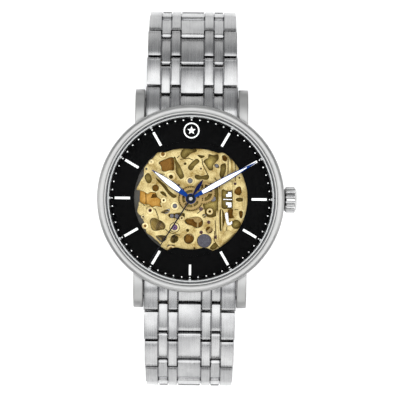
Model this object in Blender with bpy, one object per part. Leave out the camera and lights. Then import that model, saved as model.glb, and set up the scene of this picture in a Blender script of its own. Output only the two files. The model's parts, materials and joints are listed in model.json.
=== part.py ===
"""Skeleton automatic wristwatch on a seven-column steel bracelet, closed on its folding clasp.

+Z is up out of the dial, +X points to 3 o'clock (the crown) and +Y to 12 o'clock. The watch stands
on the flat outer face of its clasp, and the origin is on that face, straight under the dial's centre.
Dimensions are millimetres and are turned into metres when a mesh is made.
"""
import math

import bmesh
import bpy
from mathutils import Matrix, Vector

MM = 0.001

# ---------------------------------------------------------------- driving dimensions, millimetres
CASE_Z = 36.2  # outer face of the case back above the clasp's flat face
BEZEL_RADIUS = 20.0
CASE_RADIUS = 19.6
DIAL_BORE = 17.95  # bore for the dial and the flange ring
HOLDER_BORE = 15.0  # bore for the movement and its holder
BACK_BORE = 16.0  # bore for the spigot of the case back
MOVEMENT_RADIUS = 13.0
WINDOW_RADIUS = 12.15  # opening of the dial
BACK_WINDOW = 11.0
LUG_GAP = 20.1  # between the inner faces of two lugs
LUG_WIDTH = 2.1
LUG_TIP_Y = 23.6

CROWN_RADIUS = 2.75
CROWN_START_X = 20.35
CROWN_LENGTH = 3.05
CROWN_AXIS_Z = 4.9  # the stem's height in the case
CROWN_FLUTES = 24

PITCH = 6.5  # hinge to hinge along the bracelet
LINK_THICKNESS = 2.1
LINK_GAP = 0.1  # from a rounded finger to the wall that faces it
SIDE_GAP = 0.06  # on each side of a finger
COLUMN_EDGES = (2.55, 4.65, 6.75)  # edges of the inner columns, from the middle out
HALF_WIDTH_TOP = 9.9
HALF_WIDTH_LOW = 9.35
TAPER_ROWS = 5
HINGE_Y = 23.2
HINGE_Z = 3.4  # height of the first hinge in the case
# Slope of each row below the horizontal, from the case down to the clasp.
ROW_TILTS = (12, 25, 54, 77, 97, 115, 133, 151, 167)

BLADE_HALF_WIDTH = 6.8
COVER_HALF_WIDTH = 8.9
BLADE_HINGE = (17.6, 2.25)  # y and z of the pivot between inner and middle blade
HOUR_HAND_AT = 305.9  # degrees clockwise from 12
MINUTE_HAND_AT = 60.3
SECONDS_HAND_AT = 212.4
COVER_HINGE = (-18.3, 1.45)  # y and z of the pivot between middle blade and cover

FINGER = LINK_THICKNESS / 2
WALL = FINGER + LINK_GAP

# ---------------------------------------------------------------- levels in the case, millimetres
BRIDGE_LEVEL = (3.3, 3.8)
FOURTH_LEVEL = (3.95, 4.1)
THIRD_LEVEL = (4.22, 4.38)
BARREL_LEVEL = (4.5, 5.1)
CENTRE_LEVEL = (5.22, 5.38)
ESCAPE_LEVEL = (4.52, 4.66)
BALANCE_LEVEL = (3.9, 4.14)
PLATE_LEVEL = (5.5, 6.3)
MOTION_LEVEL = (6.42, 6.62)
MINUTE_PINION_LEVEL = (6.66, 6.9)
DIAL_LEVEL = (7.1, 7.5)
HOUR_HAND_Z = 7.95
MINUTE_HAND_Z = 8.4
SECONDS_HAND_Z = 8.85
HAND_THICKNESS = 0.18

# ---------------------------------------------------------------- wheel train
# Distances follow from teeth and module; the directions are degrees anticlockwise from 3 o'clock.
BARREL_TEETH, CENTRE_PINION, BARREL_MODULE, BARREL_AT = 72, 12, 0.15, 115
CENTRE_TEETH, THIRD_PINION, CENTRE_MODULE, THIRD_AT = 64, 8, 0.125, -70
THIRD_TEETH, FOURTH_PINION = 60, 8
FOURTH_TEETH, ESCAPE_PINION, FOURTH_MODULE, ESCAPE_AT = 72, 8, 0.1, 220
CANNON_TEETH, MINUTE_TEETH, MINUTE_PINION, HOUR_TEETH = 12, 36, 10, 40
MINUTE_WHEEL_DISTANCE, MINUTE_WHEEL_AT = 3.1, 25
ESCAPE_TEETH = 20
ESCAPE_RADIUS = 2.15
BALANCE_CENTRE = (-5.2, -6.6)
BALANCE_RADIUS = 4.0
PALLET_CENTRE = (-4.15, -4.72)

STEEL = ((0.62, 0.62, 0.61), 0.25, 1.0)
BRUSHED = ((0.55, 0.55, 0.54), 0.38, 1.0)
BLACK = ((0.01, 0.01, 0.012), 0.4, 0.0)
GOLD = ((0.83, 0.68, 0.36), 0.3, 1.0)
BRASS = ((0.78, 0.6, 0.3), 0.3, 1.0)
GLASS = ((0.9, 0.93, 0.95), 0.03, 0.0)
RUBBER = ((0.02, 0.02, 0.02), 0.8, 0.0)
BLUE = ((0.03, 0.08, 0.4), 0.25, 1.0)
HOLDER = ((0.25, 0.2, 0.16), 0.6, 0.0)


# ---------------------------------------------------------------- helpers
def clear_scene():
    for old in list(bpy.data.objects):
        bpy.data.objects.remove(old, do_unlink=True)


def solid(name, mesh_maker, lift=CASE_Z):
    """One closed object, from a bmesh in millimetres that stands `lift` above the rest face."""
    bm = bmesh.new()
    mesh_maker(bm)
    bmesh.ops.remove_doubles(bm, verts=bm.verts, dist=1e-5)
    bmesh.ops.recalc_face_normals(bm, faces=bm.faces)
    bmesh.ops.transform(bm, matrix=Matrix.Translation((0, 0, lift)), verts=bm.verts)
    bmesh.ops.scale(bm, vec=(MM, MM, MM), verts=bm.verts)
    mesh = bpy.data.meshes.new(name)
    bm.to_mesh(mesh)
    bm.free()
    made = bpy.data.objects.new(name, mesh)
    bpy.context.collection.objects.link(made)
    return made


def prism(name, outline, low, high, lift=CASE_Z):
    """An outline in XY, raised from one height to another."""

    def make(bm):
        base = bm.faces.new([bm.verts.new((x, y, low)) for x, y in outline])
        raised = bmesh.ops.extrude_face_region(bm, geom=[base])
        top = [v for v in raised["geom"] if isinstance(v, bmesh.types.BMVert)]
        bmesh.ops.translate(bm, verts=top, vec=(0, 0, high - low))

    return solid(name, make, lift)


def bar(name, profile, left, right, lift=CASE_Z):
    """A profile in YZ, stretched along X."""

    def make(bm):
        base = bm.faces.new([bm.verts.new((left, y, z)) for y, z in profile])
        stretched = bmesh.ops.extrude_face_region(bm, geom=[base])
        far = [v for v in stretched["geom"] if isinstance(v, bmesh.types.BMVert)]
        bmesh.ops.translate(bm, verts=far, vec=(right - left, 0, 0))

    return solid(name, make, lift)


def turned(name, profile, steps, centre=(0, 0), along_x=False, lift=CASE_Z):
    """A closed profile of (radius, height) spun round a vertical axis, or round the stem's axis."""

    def make(bm):
        ring = [bm.verts.new((r, 0, z)) for r, z in profile]
        edges = [bm.edges.new((a, b)) for a, b in zip(ring, ring[1:] + ring[:1])]
        bmesh.ops.spin(
            bm, geom=ring + edges, cent=(0, 0, 0), axis=(0, 0, 1),
            angle=2 * math.pi, steps=steps, use_merge=True,
        )
        if along_x:
            sideways = Matrix.Rotation(math.pi / 2, 3, "Y")
            bmesh.ops.rotate(bm, cent=(0, 0, 0), matrix=sideways, verts=bm.verts)
            bmesh.ops.translate(bm, verts=bm.verts, vec=(0, 0, CROWN_AXIS_Z))
        else:
            bmesh.ops.translate(bm, verts=bm.verts, vec=(*centre, 0))

    return solid(name, make, lift)


def disc(name, radius, low, high, steps=24, centre=(0, 0), lift=CASE_Z):
    return prism(name, circle(radius, steps, centre), low, high, lift)


def rod_x(name, radius, left, right, y, z, steps=12, lift=CASE_Z):
    """A round rod that lies along X."""
    profile = [(y + radius * math.cos(a), z + radius * math.sin(a)) for a in turn(steps)]
    return bar(name, profile, left, right, lift)


def turn(steps, start=0.0):
    return [start + 2 * math.pi * i / steps for i in range(steps)]


def circle(radius, steps=24, centre=(0, 0)):
    return [(centre[0] + radius * math.cos(a), centre[1] + radius * math.sin(a)) for a in turn(steps)]


def box_outline(left, right, low, high):
    return [(left, low), (right, low), (right, high), (left, high)]


def combine(base, other, operation):
    """Join `other` to `base`, or cut it out, and drop it."""
    step = base.modifiers.new("combine", "BOOLEAN")
    step.object = other
    step.operation = operation
    step.solver = "EXACT"
    with bpy.context.temp_override(object=base, active_object=base):
        bpy.ops.object.modifier_apply(modifier=step.name)
    bpy.data.objects.remove(other, do_unlink=True)
    return base


def joined(name, pieces):
    base = pieces[0]
    for piece in pieces[1:]:
        combine(base, piece, "UNION")
    base.name = base.data.name = name
    return base


def cut(base, *cutters):
    for cutter in cutters:
        combine(base, cutter, "DIFFERENCE")
    return base


def finish(piece, look):
    colour, roughness, metallic = look
    material = bpy.data.materials.new(piece.name + "_finish")
    material.use_nodes = True
    shader = material.node_tree.nodes["Principled BSDF"]
    shader.inputs["Base Color"].default_value = (*colour, 1)
    shader.inputs["Roughness"].default_value = roughness
    shader.inputs["Metallic"].default_value = metallic
    piece.data.materials.clear()
    piece.data.materials.append(material)
    piece.data.shade_smooth()
    piece.data.set_sharp_from_angle(angle=math.radians(30))
    return piece


def polar(distance, degrees):
    return (distance * math.cos(math.radians(degrees)), distance * math.sin(math.radians(degrees)))


def put_origin(piece, point):
    """Move the object's origin to a point in millimetres, and leave its shape where it is."""
    place = Vector(point) * MM
    piece.data.transform(Matrix.Translation(-place))
    piece.location = place
    return piece


# ---------------------------------------------------------------- gears
def gear_outline(teeth, module, first_tooth, centre=(0, 0), fine=False):
    """Pointed teeth for wheels, and flat-topped ones where `fine` is set, for pinions."""
    radius = teeth * module / 2
    step = 2 * math.pi / teeth
    if fine:
        corners = ((-0.5, -1.15), (-0.13, 0.85), (0.13, 0.85))
    else:
        corners = ((-0.5, -1.1), (0.0, 0.9))
    points = []
    for tooth in range(teeth):
        for turn_share, height in corners:
            angle = first_tooth + (tooth + turn_share) * step
            reach = radius + height * module
            points.append((centre[0] + reach * math.cos(angle), centre[1] + reach * math.sin(angle)))
    return points


def facing_tooth(direction):
    """First tooth of a wheel that points along the line of centres."""
    return math.radians(direction)


def facing_gap(direction, teeth):
    """First tooth of the mate, whose gap receives that tooth."""
    return math.radians(direction) + math.pi + math.pi / teeth


CENTRE_TO_BARREL = (BARREL_TEETH + CENTRE_PINION) * BARREL_MODULE / 2
CENTRE_TO_THIRD = (CENTRE_TEETH + THIRD_PINION) * CENTRE_MODULE / 2
CENTRE_TO_ESCAPE = (FOURTH_TEETH + ESCAPE_PINION) * FOURTH_MODULE / 2
THIRD_MODULE = 2 * CENTRE_TO_THIRD / (THIRD_TEETH + FOURTH_PINION)
CANNON_MODULE = 2 * MINUTE_WHEEL_DISTANCE / (CANNON_TEETH + MINUTE_TEETH)
HOUR_MODULE = 2 * MINUTE_WHEEL_DISTANCE / (MINUTE_PINION + HOUR_TEETH)
BARREL_CENTRE = polar(CENTRE_TO_BARREL, BARREL_AT)
THIRD_CENTRE = polar(CENTRE_TO_THIRD, THIRD_AT)
ESCAPE_CENTRE = polar(CENTRE_TO_ESCAPE, ESCAPE_AT)
MINUTE_WHEEL_CENTRE = polar(MINUTE_WHEEL_DISTANCE, MINUTE_WHEEL_AT)


# ---------------------------------------------------------------- case
def make_mid_case():
    profile = [
        (BACK_BORE, 1.05), (16.1, 1.05), (16.1, 1.55), (16.8, 1.55), (16.8, 1.05), (18.3, 1.05),
        (CASE_RADIUS, 2.2), (CASE_RADIUS, 8.0), (DIAL_BORE, 8.0), (DIAL_BORE, 7.05), (HOLDER_BORE, 7.05),
        (HOLDER_BORE, 1.75), (BACK_BORE, 1.75),
    ]
    case = turned("mid_case", profile, 48)
    lug = [
        (14.2, 1.8), (20.2, 0.75), (22.6, 0.7), (23.45, 1.5), (LUG_TIP_Y, 2.6), (23.5, 4.2),
        (22.7, 5.3), (20.4, 6.75), (17.2, 7.5), (14.2, 6.9),
    ]
    inner, outer = LUG_GAP / 2, LUG_GAP / 2 + LUG_WIDTH
    for left, right in ((inner, outer), (-outer, -inner)):
        for end in (1, -1):
            combine(case, bar("lug", [(end * y, z) for y, z in lug], left, right), "UNION")
    for end in (1, -1):
        cut(case, rod_x("bar_hole", 0.68, -11.3, 11.3, end * 21.3, 3.4))
    cut(case, rod_x("tube_hole", 1.15, 14.0, 20.5, 0, CROWN_AXIS_Z))
    return finish(case, STEEL)


def make_bezel():
    profile = [
        (DIAL_BORE, 8.06), (BEZEL_RADIUS - 0.3, 8.06), (BEZEL_RADIUS, 8.35), (BEZEL_RADIUS, 9.5),
        (19.75, 10.0), (19.1, 10.3), (18.5, 10.2), (18.5, 9.45), (DIAL_BORE, 9.45),
    ]
    return finish(turned("bezel", profile, 48), STEEL)


def make_crystal():
    rim, edge = 18.12, 9.52
    dome = [(0, 11.0), (9, 10.87), (17.4, 10.42), (rim, 10.25)]
    outline = [(0, edge), (rim, edge)] + dome[::-1]

    return finish(turned("crystal", outline, 36), GLASS)


def make_rings():
    """The plain turned rings: gasket, flange, case back, glass and holder."""
    finish(turned("crystal_gasket", box_outline(18.17, 18.44, 9.52, 10.1), 36), RUBBER)
    flange = [(17.45, 9.35), (17.2, 7.56), (17.88, 7.56), (17.88, 9.35)]
    finish(turned("flange_ring", flange, 36), STEEL)
    back = [
        (BACK_WINDOW, 0.0), (16.9, 0.0), (17.3, 0.35), (17.3, 1.0), (15.9, 1.0), (15.9, 1.65),
        (11.95, 1.65), (11.95, 0.5), (BACK_WINDOW, 0.5),
    ]
    finish(turned("case_back", back, 36), STEEL)
    finish(disc("case_back_glass", 11.85, 0.56, 1.3, 36), GLASS)
    finish(turned("back_gasket", box_outline(16.2, 16.7, 1.08, 1.48), 36), RUBBER)
    holder = turned("movement_holder", box_outline(13.15, 14.9, 3.3, 6.95), 36)
    cut(holder, rod_x("stem_hole", 0.8, 12.0, 16.0, 0, CROWN_AXIS_Z))
    finish(holder, HOLDER)


def make_dial():
    """The dial ring, whose opening is closed a little at 12 and at 6."""
    outer = circle(DIAL_BORE - 0.05, 60)
    opening = []
    for i in range(60):
        angle = 2 * math.pi * i / 60
        from_twelve = math.degrees(abs(math.remainder(angle - math.pi / 2, 2 * math.pi)))
        from_six = 180 - from_twelve
        reach = WINDOW_RADIUS
        if from_twelve < 36:
            reach = 10.6
        if from_six < 31:
            reach = 10.9
        opening.append((reach * math.cos(angle), reach * math.sin(angle)))
    dial = prism("dial", outer, *DIAL_LEVEL)
    cut(dial, prism("opening", opening, DIAL_LEVEL[0] - 1, DIAL_LEVEL[1] + 1))
    return finish(dial, BLACK)


def make_crown():
    end = CROWN_START_X + CROWN_LENGTH
    profile = [
        (1.35, CROWN_START_X), (2.3, CROWN_START_X), (CROWN_RADIUS, CROWN_START_X + 0.4),
        (CROWN_RADIUS, end - 0.45), (2.2, end), (0, end), (0, 21.75), (1.35, 21.75),
    ]
    flutes = CROWN_FLUTES * 2

    def make(bm):
        rings = []
        for radius, x in profile:
            if radius == 0:
                rings.append([bm.verts.new((x, 0, CROWN_AXIS_Z))])
                continue
            ring = []
            for i, angle in enumerate(turn(flutes)):
                reach = radius - (0.18 if radius > 2.5 and i % 2 else 0)
                y, z = reach * math.cos(angle), CROWN_AXIS_Z + reach * math.sin(angle)
                ring.append(bm.verts.new((x, y, z)))
            rings.append(ring)
        for near, far in zip(rings, rings[1:] + rings[:1]):
            if len(near) == 1 and len(far) == 1:
                continue
            for i in range(flutes):
                j = (i + 1) % flutes
                corners = [near[i % len(near)], near[j % len(near)], far[j % len(far)], far[i % len(far)]]
                bm.faces.new(list(dict.fromkeys(corners)))

    crown = solid("crown", make)
    put_origin(crown, (CROWN_START_X, 0, CASE_Z + CROWN_AXIS_Z))
    finish(crown, STEEL)
    tube = turned("crown_tube", box_outline(0.6, 1.1, 18.0, 21.0), 20, along_x=True)
    finish(tube, STEEL)
    stem = rod_x("winding_stem", 0.42, 7.0, 21.65, 0, CROWN_AXIS_Z, 12)
    combine(stem, rod_x("winding_square", 0.56, 8.2, 10.4, 0, CROWN_AXIS_Z, 8), "UNION")
    finish(put_origin(stem, (7.0, 0, CASE_Z + CROWN_AXIS_Z)), STEEL)
    lever = [(6.9, -1.9), (8.9, -1.9), (8.9, 0.4), (8.3, 0.7), (8.3, 1.8), (7.1, 1.8)]
    finish(prism("setting_lever", lever, PLATE_LEVEL[1] + 0.1, PLATE_LEVEL[1] + 0.4), BRUSHED)


# ---------------------------------------------------------------- bracelet
def half_width(row):
    """Half of the bracelet's width at a row, narrowing down to the clasp."""
    share = min(row, TAPER_ROWS) / TAPER_ROWS
    return HALF_WIDTH_TOP + (HALF_WIDTH_LOW - HALF_WIDTH_TOP) * share


def columns(half):
    """The four columns that reach down the bracelet, and the three that reach up."""
    inner, middle, outer = COLUMN_EDGES
    down = [(-half, -outer), (-middle, -inner), (inner, middle), (outer, half)]
    up = [(-outer, -middle), (-inner, inner), (middle, outer)]
    return down, up


def finger_end(y, z, radius=FINGER, steps=4, toward=1):
    """Points of a half circle round a hinge, from its top to its bottom."""
    return [
        (y + toward * radius * math.sin(math.pi * i / steps), z + radius * math.cos(math.pi * i / steps))
        for i in range(steps + 1)
    ]


def comb(name, core, down_profile, up_profile, half, lift=0.0):
    """A bracelet link: a core, with fingers that reach both ways in their own columns."""
    down, up = columns(half)
    edge = half - 0.05
    pieces = [bar("core", core, -edge, edge, lift)]
    for profile, spans in ((down_profile, down), (up_profile, up)):
        if profile is None:
            continue
        for left, right in spans:
            left = left + (0 if left == -half else SIDE_GAP)
            right = right - (0 if right == half else SIDE_GAP)
            pieces.append(bar("finger", profile, left, right, lift))
    return joined(name, pieces)


def hinge_points():
    """y and z of each hinge of the 12 o'clock side, from the case down to the clasp."""
    y, z = HINGE_Y, CASE_Z + HINGE_Z
    points = [(y, z)]
    for tilt in ROW_TILTS:
        y += PITCH * math.cos(math.radians(tilt))
        z -= PITCH * math.sin(math.radians(tilt))
        points.append((y, z))
    return points


def make_bracelet_side(side, turned_by):
    """The nine links of one side, each with its origin on the hinge that carries it."""
    core = box_outline(WALL + 0.05, PITCH - WALL - 0.05, -0.96, 0.9)
    down = [(WALL, -FINGER), (WALL, FINGER)] + finger_end(PITCH, 0)
    up = [(PITCH - WALL, FINGER), (PITCH - WALL, -FINGER)] + finger_end(0, 0, toward=-1)[::-1]
    for row, (tilt, (y, z)) in enumerate(zip(ROW_TILTS, hinge_points()), start=1):
        link = comb(f"link_{side}_{row}", core, down, up, half_width(row))
        finish(link, BRUSHED)
        place = Matrix.Rotation(turned_by, 4, "Z") @ Matrix.Translation((0, y * MM, z * MM))
        link.matrix_world = place @ Matrix.Rotation(-math.radians(tilt), 4, "X")


def make_end_links():
    far = HINGE_Y - WALL - 0.05
    core = [(17.0, 2.42), (far, 2.42), (far, 4.85), (19.0, 6.3), (17.0, 6.3)]
    down = [(20.4, 5.75), (22.0, 5.02)] + finger_end(HINGE_Y, HINGE_Z) + [(20.4, 2.35)]
    for side, turned_by in (("12", 0), ("6", math.pi)):
        link = comb(f"end_link_{side}", core, down, None, HALF_WIDTH_TOP + 0.05, CASE_Z)
        cut(link, disc("case_side", CASE_RADIUS + 0.15, 0, 12, 48))
        cut(link, rod_x("bar_hole", 0.68, -12, 12, 21.3, 3.4))
        link.data.transform(Matrix.Rotation(turned_by, 4, "Z"))
        finish(link, BRUSHED)
        end = 1 if side == "12" else -1
        spring_bar = rod_x(f"spring_bar_{side}", 0.45, -11.1, 11.1, end * 21.3, 3.4)
        combine(spring_bar, rod_x("barrel", 0.6, -9.0, 9.0, end * 21.3, 3.4), "UNION")
        finish(spring_bar, STEEL)


# ---------------------------------------------------------------- folding clasp
def make_clasp():
    hinge_y, hinge_z = hinge_points()[-1]
    _, tongues = columns(COVER_HALF_WIDTH)
    tongues = [(left + SIDE_GAP, right - SIDE_GAP) for left, right in tongues]
    pivot_y, pivot_z = BLADE_HINGE
    cover_y, cover_z = COVER_HINGE

    across = (-BLADE_HALF_WIDTH, BLADE_HALF_WIDTH)
    blade = [bar("plate", box_outline(-hinge_y + WALL + 0.1, pivot_y, 2.5, 3.1), *across, 0)]
    tongue = [(-hinge_y + 2.6, 3.05), (-hinge_y + 2.6, 2.55), (-hinge_y + 1.15, 2.55)]
    tongue += finger_end(-hinge_y, hinge_z, toward=-1)[::-1]
    blade += [bar("tongue", tongue, left, right, 0) for left, right in tongues]
    blade.append(rod_x("knuckle", 0.85, -2.5, 2.5, pivot_y, pivot_z, 16, 0))
    inner = joined("clasp_inner_blade", blade)
    cut(inner, *[
        bar("relief", box_outline(pivot_y - 1.1, pivot_y + 2, 0, 5), left, right, 0)
        for left, right in ((-9, -2.5), (2.5, 9))
    ])
    cut(inner, bar("slot", box_outline(-12, 13, 2, 4), -3.2, 3.2, 0))
    finish(put_origin(inner, (0, -hinge_y, hinge_z)), STEEL)

    blade = [bar("plate", box_outline(cover_y, pivot_y, 1.5, 2.1), *across, 0)]
    blade += [
        rod_x("knuckle", 0.85, left, right, pivot_y, pivot_z, 16, 0)
        for left, right in ((-BLADE_HALF_WIDTH, -2.62), (2.62, BLADE_HALF_WIDTH))
    ]
    blade.append(rod_x("knuckle", 0.7, -2.5, 2.5, cover_y, cover_z, 12, 0))
    middle = joined("clasp_middle_blade", blade)
    cut(middle, bar("relief", box_outline(pivot_y - 1.1, pivot_y + 2, 0, 5), -2.62, 2.62, 0))
    cut(middle, *[
        bar("relief", box_outline(cover_y - 2, cover_y + 1.0, 0, 5), left, right, 0)
        for left, right in ((-9, -2.5), (2.5, 9))
    ])
    finish(put_origin(middle, (0, pivot_y, pivot_z)), STEEL)

    plate = [
        (-19.0, 0.95), (-18.5, 0.6), (-17.0, 0.3), (-13.5, 0.0), (13.5, 0.0), (17.0, 0.35),
        (18.9, 0.75), (19.45, 1.6), (19.45, 2.55), (18.7, 2.55), (18.7, 1.25), (-18.9, 1.25),
    ]
    cover = [bar("plate", plate, -COVER_HALF_WIDTH, COVER_HALF_WIDTH, 0)]
    tongue = [(19.2, 2.45), (19.2, 0.95), (19.9, 1.2)]
    tongue += finger_end(hinge_y, hinge_z, 0.95)[::-1] + [(19.9, 2.6)]
    cover += [bar("tongue", tongue, left, right, 0) for left, right in tongues]
    for left, right in ((-COVER_HALF_WIDTH, -8.05), (8.05, COVER_HALF_WIDTH)):
        for start, stop in ((-13.0, -2.7), (2.7, 13.0)):
            wall = [(start, 0.5), (stop, 0.5), (stop, 2.9), (start + 0.6, 2.9)]
            cover.append(bar("wall", wall, left, right, 0))
    for left, right in ((-BLADE_HALF_WIDTH, -2.62), (2.62, BLADE_HALF_WIDTH)):
        cover.append(rod_x("ear", 0.7, left, right, cover_y, cover_z, 12, 0))
    lid = joined("clasp_cover", cover)
    cut(lid, bar("pocket", box_outline(cover_y - 1.0, cover_y + 1.2, -1, 4), -2.62, 2.62, 0))
    finish(put_origin(lid, (0, cover_y, cover_z)), BRUSHED)

    for name, end in (("clasp_button_left", -1), ("clasp_button_right", 1)):
        head = [(-2.5, 1.45), (2.5, 1.45), (2.5, 2.3), (2.2, 2.7), (-2.2, 2.7), (-2.5, 2.3)]
        spans = sorted((end * 7.75, end * 9.7))
        button = bar(name, head, *spans, 0)
        finish(put_origin(button, (end * 7.75, 0, 2.1)), STEEL)


# ---------------------------------------------------------------- movement
def opening_outline(centre, width, height, turned_by=0.0, steps=8):
    """An oval opening, turned anticlockwise by some degrees."""
    c, s = math.cos(math.radians(turned_by)), math.sin(math.radians(turned_by))
    points = []
    for angle in turn(steps):
        x, y = width / 2 * math.cos(angle), height / 2 * math.sin(angle)
        points.append((centre[0] + x * c - y * s, centre[1] + x * s + y * c))
    return points


def strip(start, end, reach):
    """A straight strip from one point to another, `reach` wide on each side."""
    along = math.atan2(end[1] - start[1], end[0] - start[0])
    across = (-math.sin(along) * reach, math.cos(along) * reach)
    return [
        (start[0] + across[0], start[1] + across[1]), (start[0] - across[0], start[1] - across[1]),
        (end[0] - across[0], end[1] - across[1]), (end[0] + across[0], end[1] + across[1]),
    ]


# Openings of the main plate: centre, width, height, turn.
PLATE_OPENINGS = (
    ((-5.2, 7.3), 4.2, 3.6, 20), ((-2.4, 6.2), 1.8, 3.4, -35), ((-10.2, 0.2), 3.4, 3.2, 0),
    ((-9.4, 4.4), 2.0, 1.8, 0), ((-7.4, -5.7), 3.8, 3.0, 15), ((-6.6, -8.7), 2.4, 1.4, 20),
    ((0.6, 8.2), 3.0, 1.7, 0), ((4.3, 8.2), 3.2, 2.6, 0), ((7.1, 6.6), 1.4, 3.2, 0),
    ((10.4, 1.7), 1.8, 1.8, 0), ((1.5, -5.1), 2.4, 2.4, 0), ((-0.6, -8.6), 2.4, 2.0, 0),
    ((8.7, -3.6), 1.4, 2.2, 0), ((-5.3, -2.6), 2.0, 1.3, 10), ((3.3, -9.3), 2.8, 1.8, 0),
    ((9.7, -5.8), 2.0, 2.0, 0),
)


def make_plates():
    plate = disc("main_plate", MOVEMENT_RADIUS, *PLATE_LEVEL, 48)
    for direction in (35, 155, 250, 330):
        post = disc("post", 0.7, 3.86, 5.6, 10, polar(12.1, direction))
        combine(plate, post, "UNION")
    for centre, width, height, turned_by in PLATE_OPENINGS:
        outline = opening_outline(centre, width, height, turned_by)
        cut(plate, prism("opening", outline, PLATE_LEVEL[0] - 0.4, PLATE_LEVEL[1] + 1))
    cut(plate, disc("centre_hole", 1.1, 5, 7, 16))
    cut(plate, disc("minute_wheel_hole", 0.3, 5, 7, 8, MINUTE_WHEEL_CENTRE))
    finish(plate, GOLD)

    bridge = disc("train_bridge", MOVEMENT_RADIUS, *BRIDGE_LEVEL, 48)
    combine(bridge, disc("rotor_post", 0.9, 2.1, 3.4, 16), "UNION")
    cut(bridge, disc("balance_room", BALANCE_RADIUS + 0.5, 2, 5, 32, BALANCE_CENTRE))
    cut(bridge, disc("arbor_hole", 0.62, 2, 5, 12, BARREL_CENTRE))
    cut(bridge, prism("cock_room", strip(polar(13.5, 250), BALANCE_CENTRE, 2.0), 2, 5))
    finish(bridge, GOLD)

    arm_low, arm_high = BRIDGE_LEVEL[0], BRIDGE_LEVEL[1] - 0.05
    cock = joined("balance_cock", [
        prism("arm", strip(polar(12.4, 250), BALANCE_CENTRE, 1.3), arm_low, arm_high),
        disc("boss", 1.7, arm_low - 0.05, arm_high + 0.02, 20, BALANCE_CENTRE),
    ])
    finish(cock, GOLD)


def make_wheel(name, layers, bores, look, centre=(0, 0)):
    """A wheel with its arbor: a stack of outlines joined together, then bored."""
    pieces = [prism("layer", outline, low, high) for outline, low, high in layers]
    wheel = joined(name, pieces)
    for radius, low, high in bores:
        cut(wheel, disc("bore", radius, low, high, 12, centre))
    height = CASE_Z + (layers[0][1] + layers[0][2]) / 2
    return finish(put_origin(wheel, (*centre, height)), look)


def leaves(count, module, first_leaf, centre=(0, 0)):
    """The outline of a pinion, whose teeth are called leaves."""
    return gear_outline(count, module, first_leaf, centre, fine=True)


def spiral(name, centre, inner, outer, turns, width, low, high, steps_per_turn):
    """A flat ribbon spring wound from its inner to its outer end."""
    count = int(turns * steps_per_turn)
    near, far = [], []
    for i in range(count + 1):
        angle = 2 * math.pi * i / steps_per_turn
        radius = inner + (outer - inner) * i / count
        along, across = math.cos(angle), math.sin(angle)
        near.append((centre[0] + radius * along, centre[1] + radius * across))
        radius += width
        far.append((centre[0] + radius * along, centre[1] + radius * across))
    return prism(name, near + far[::-1], low, high)


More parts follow.
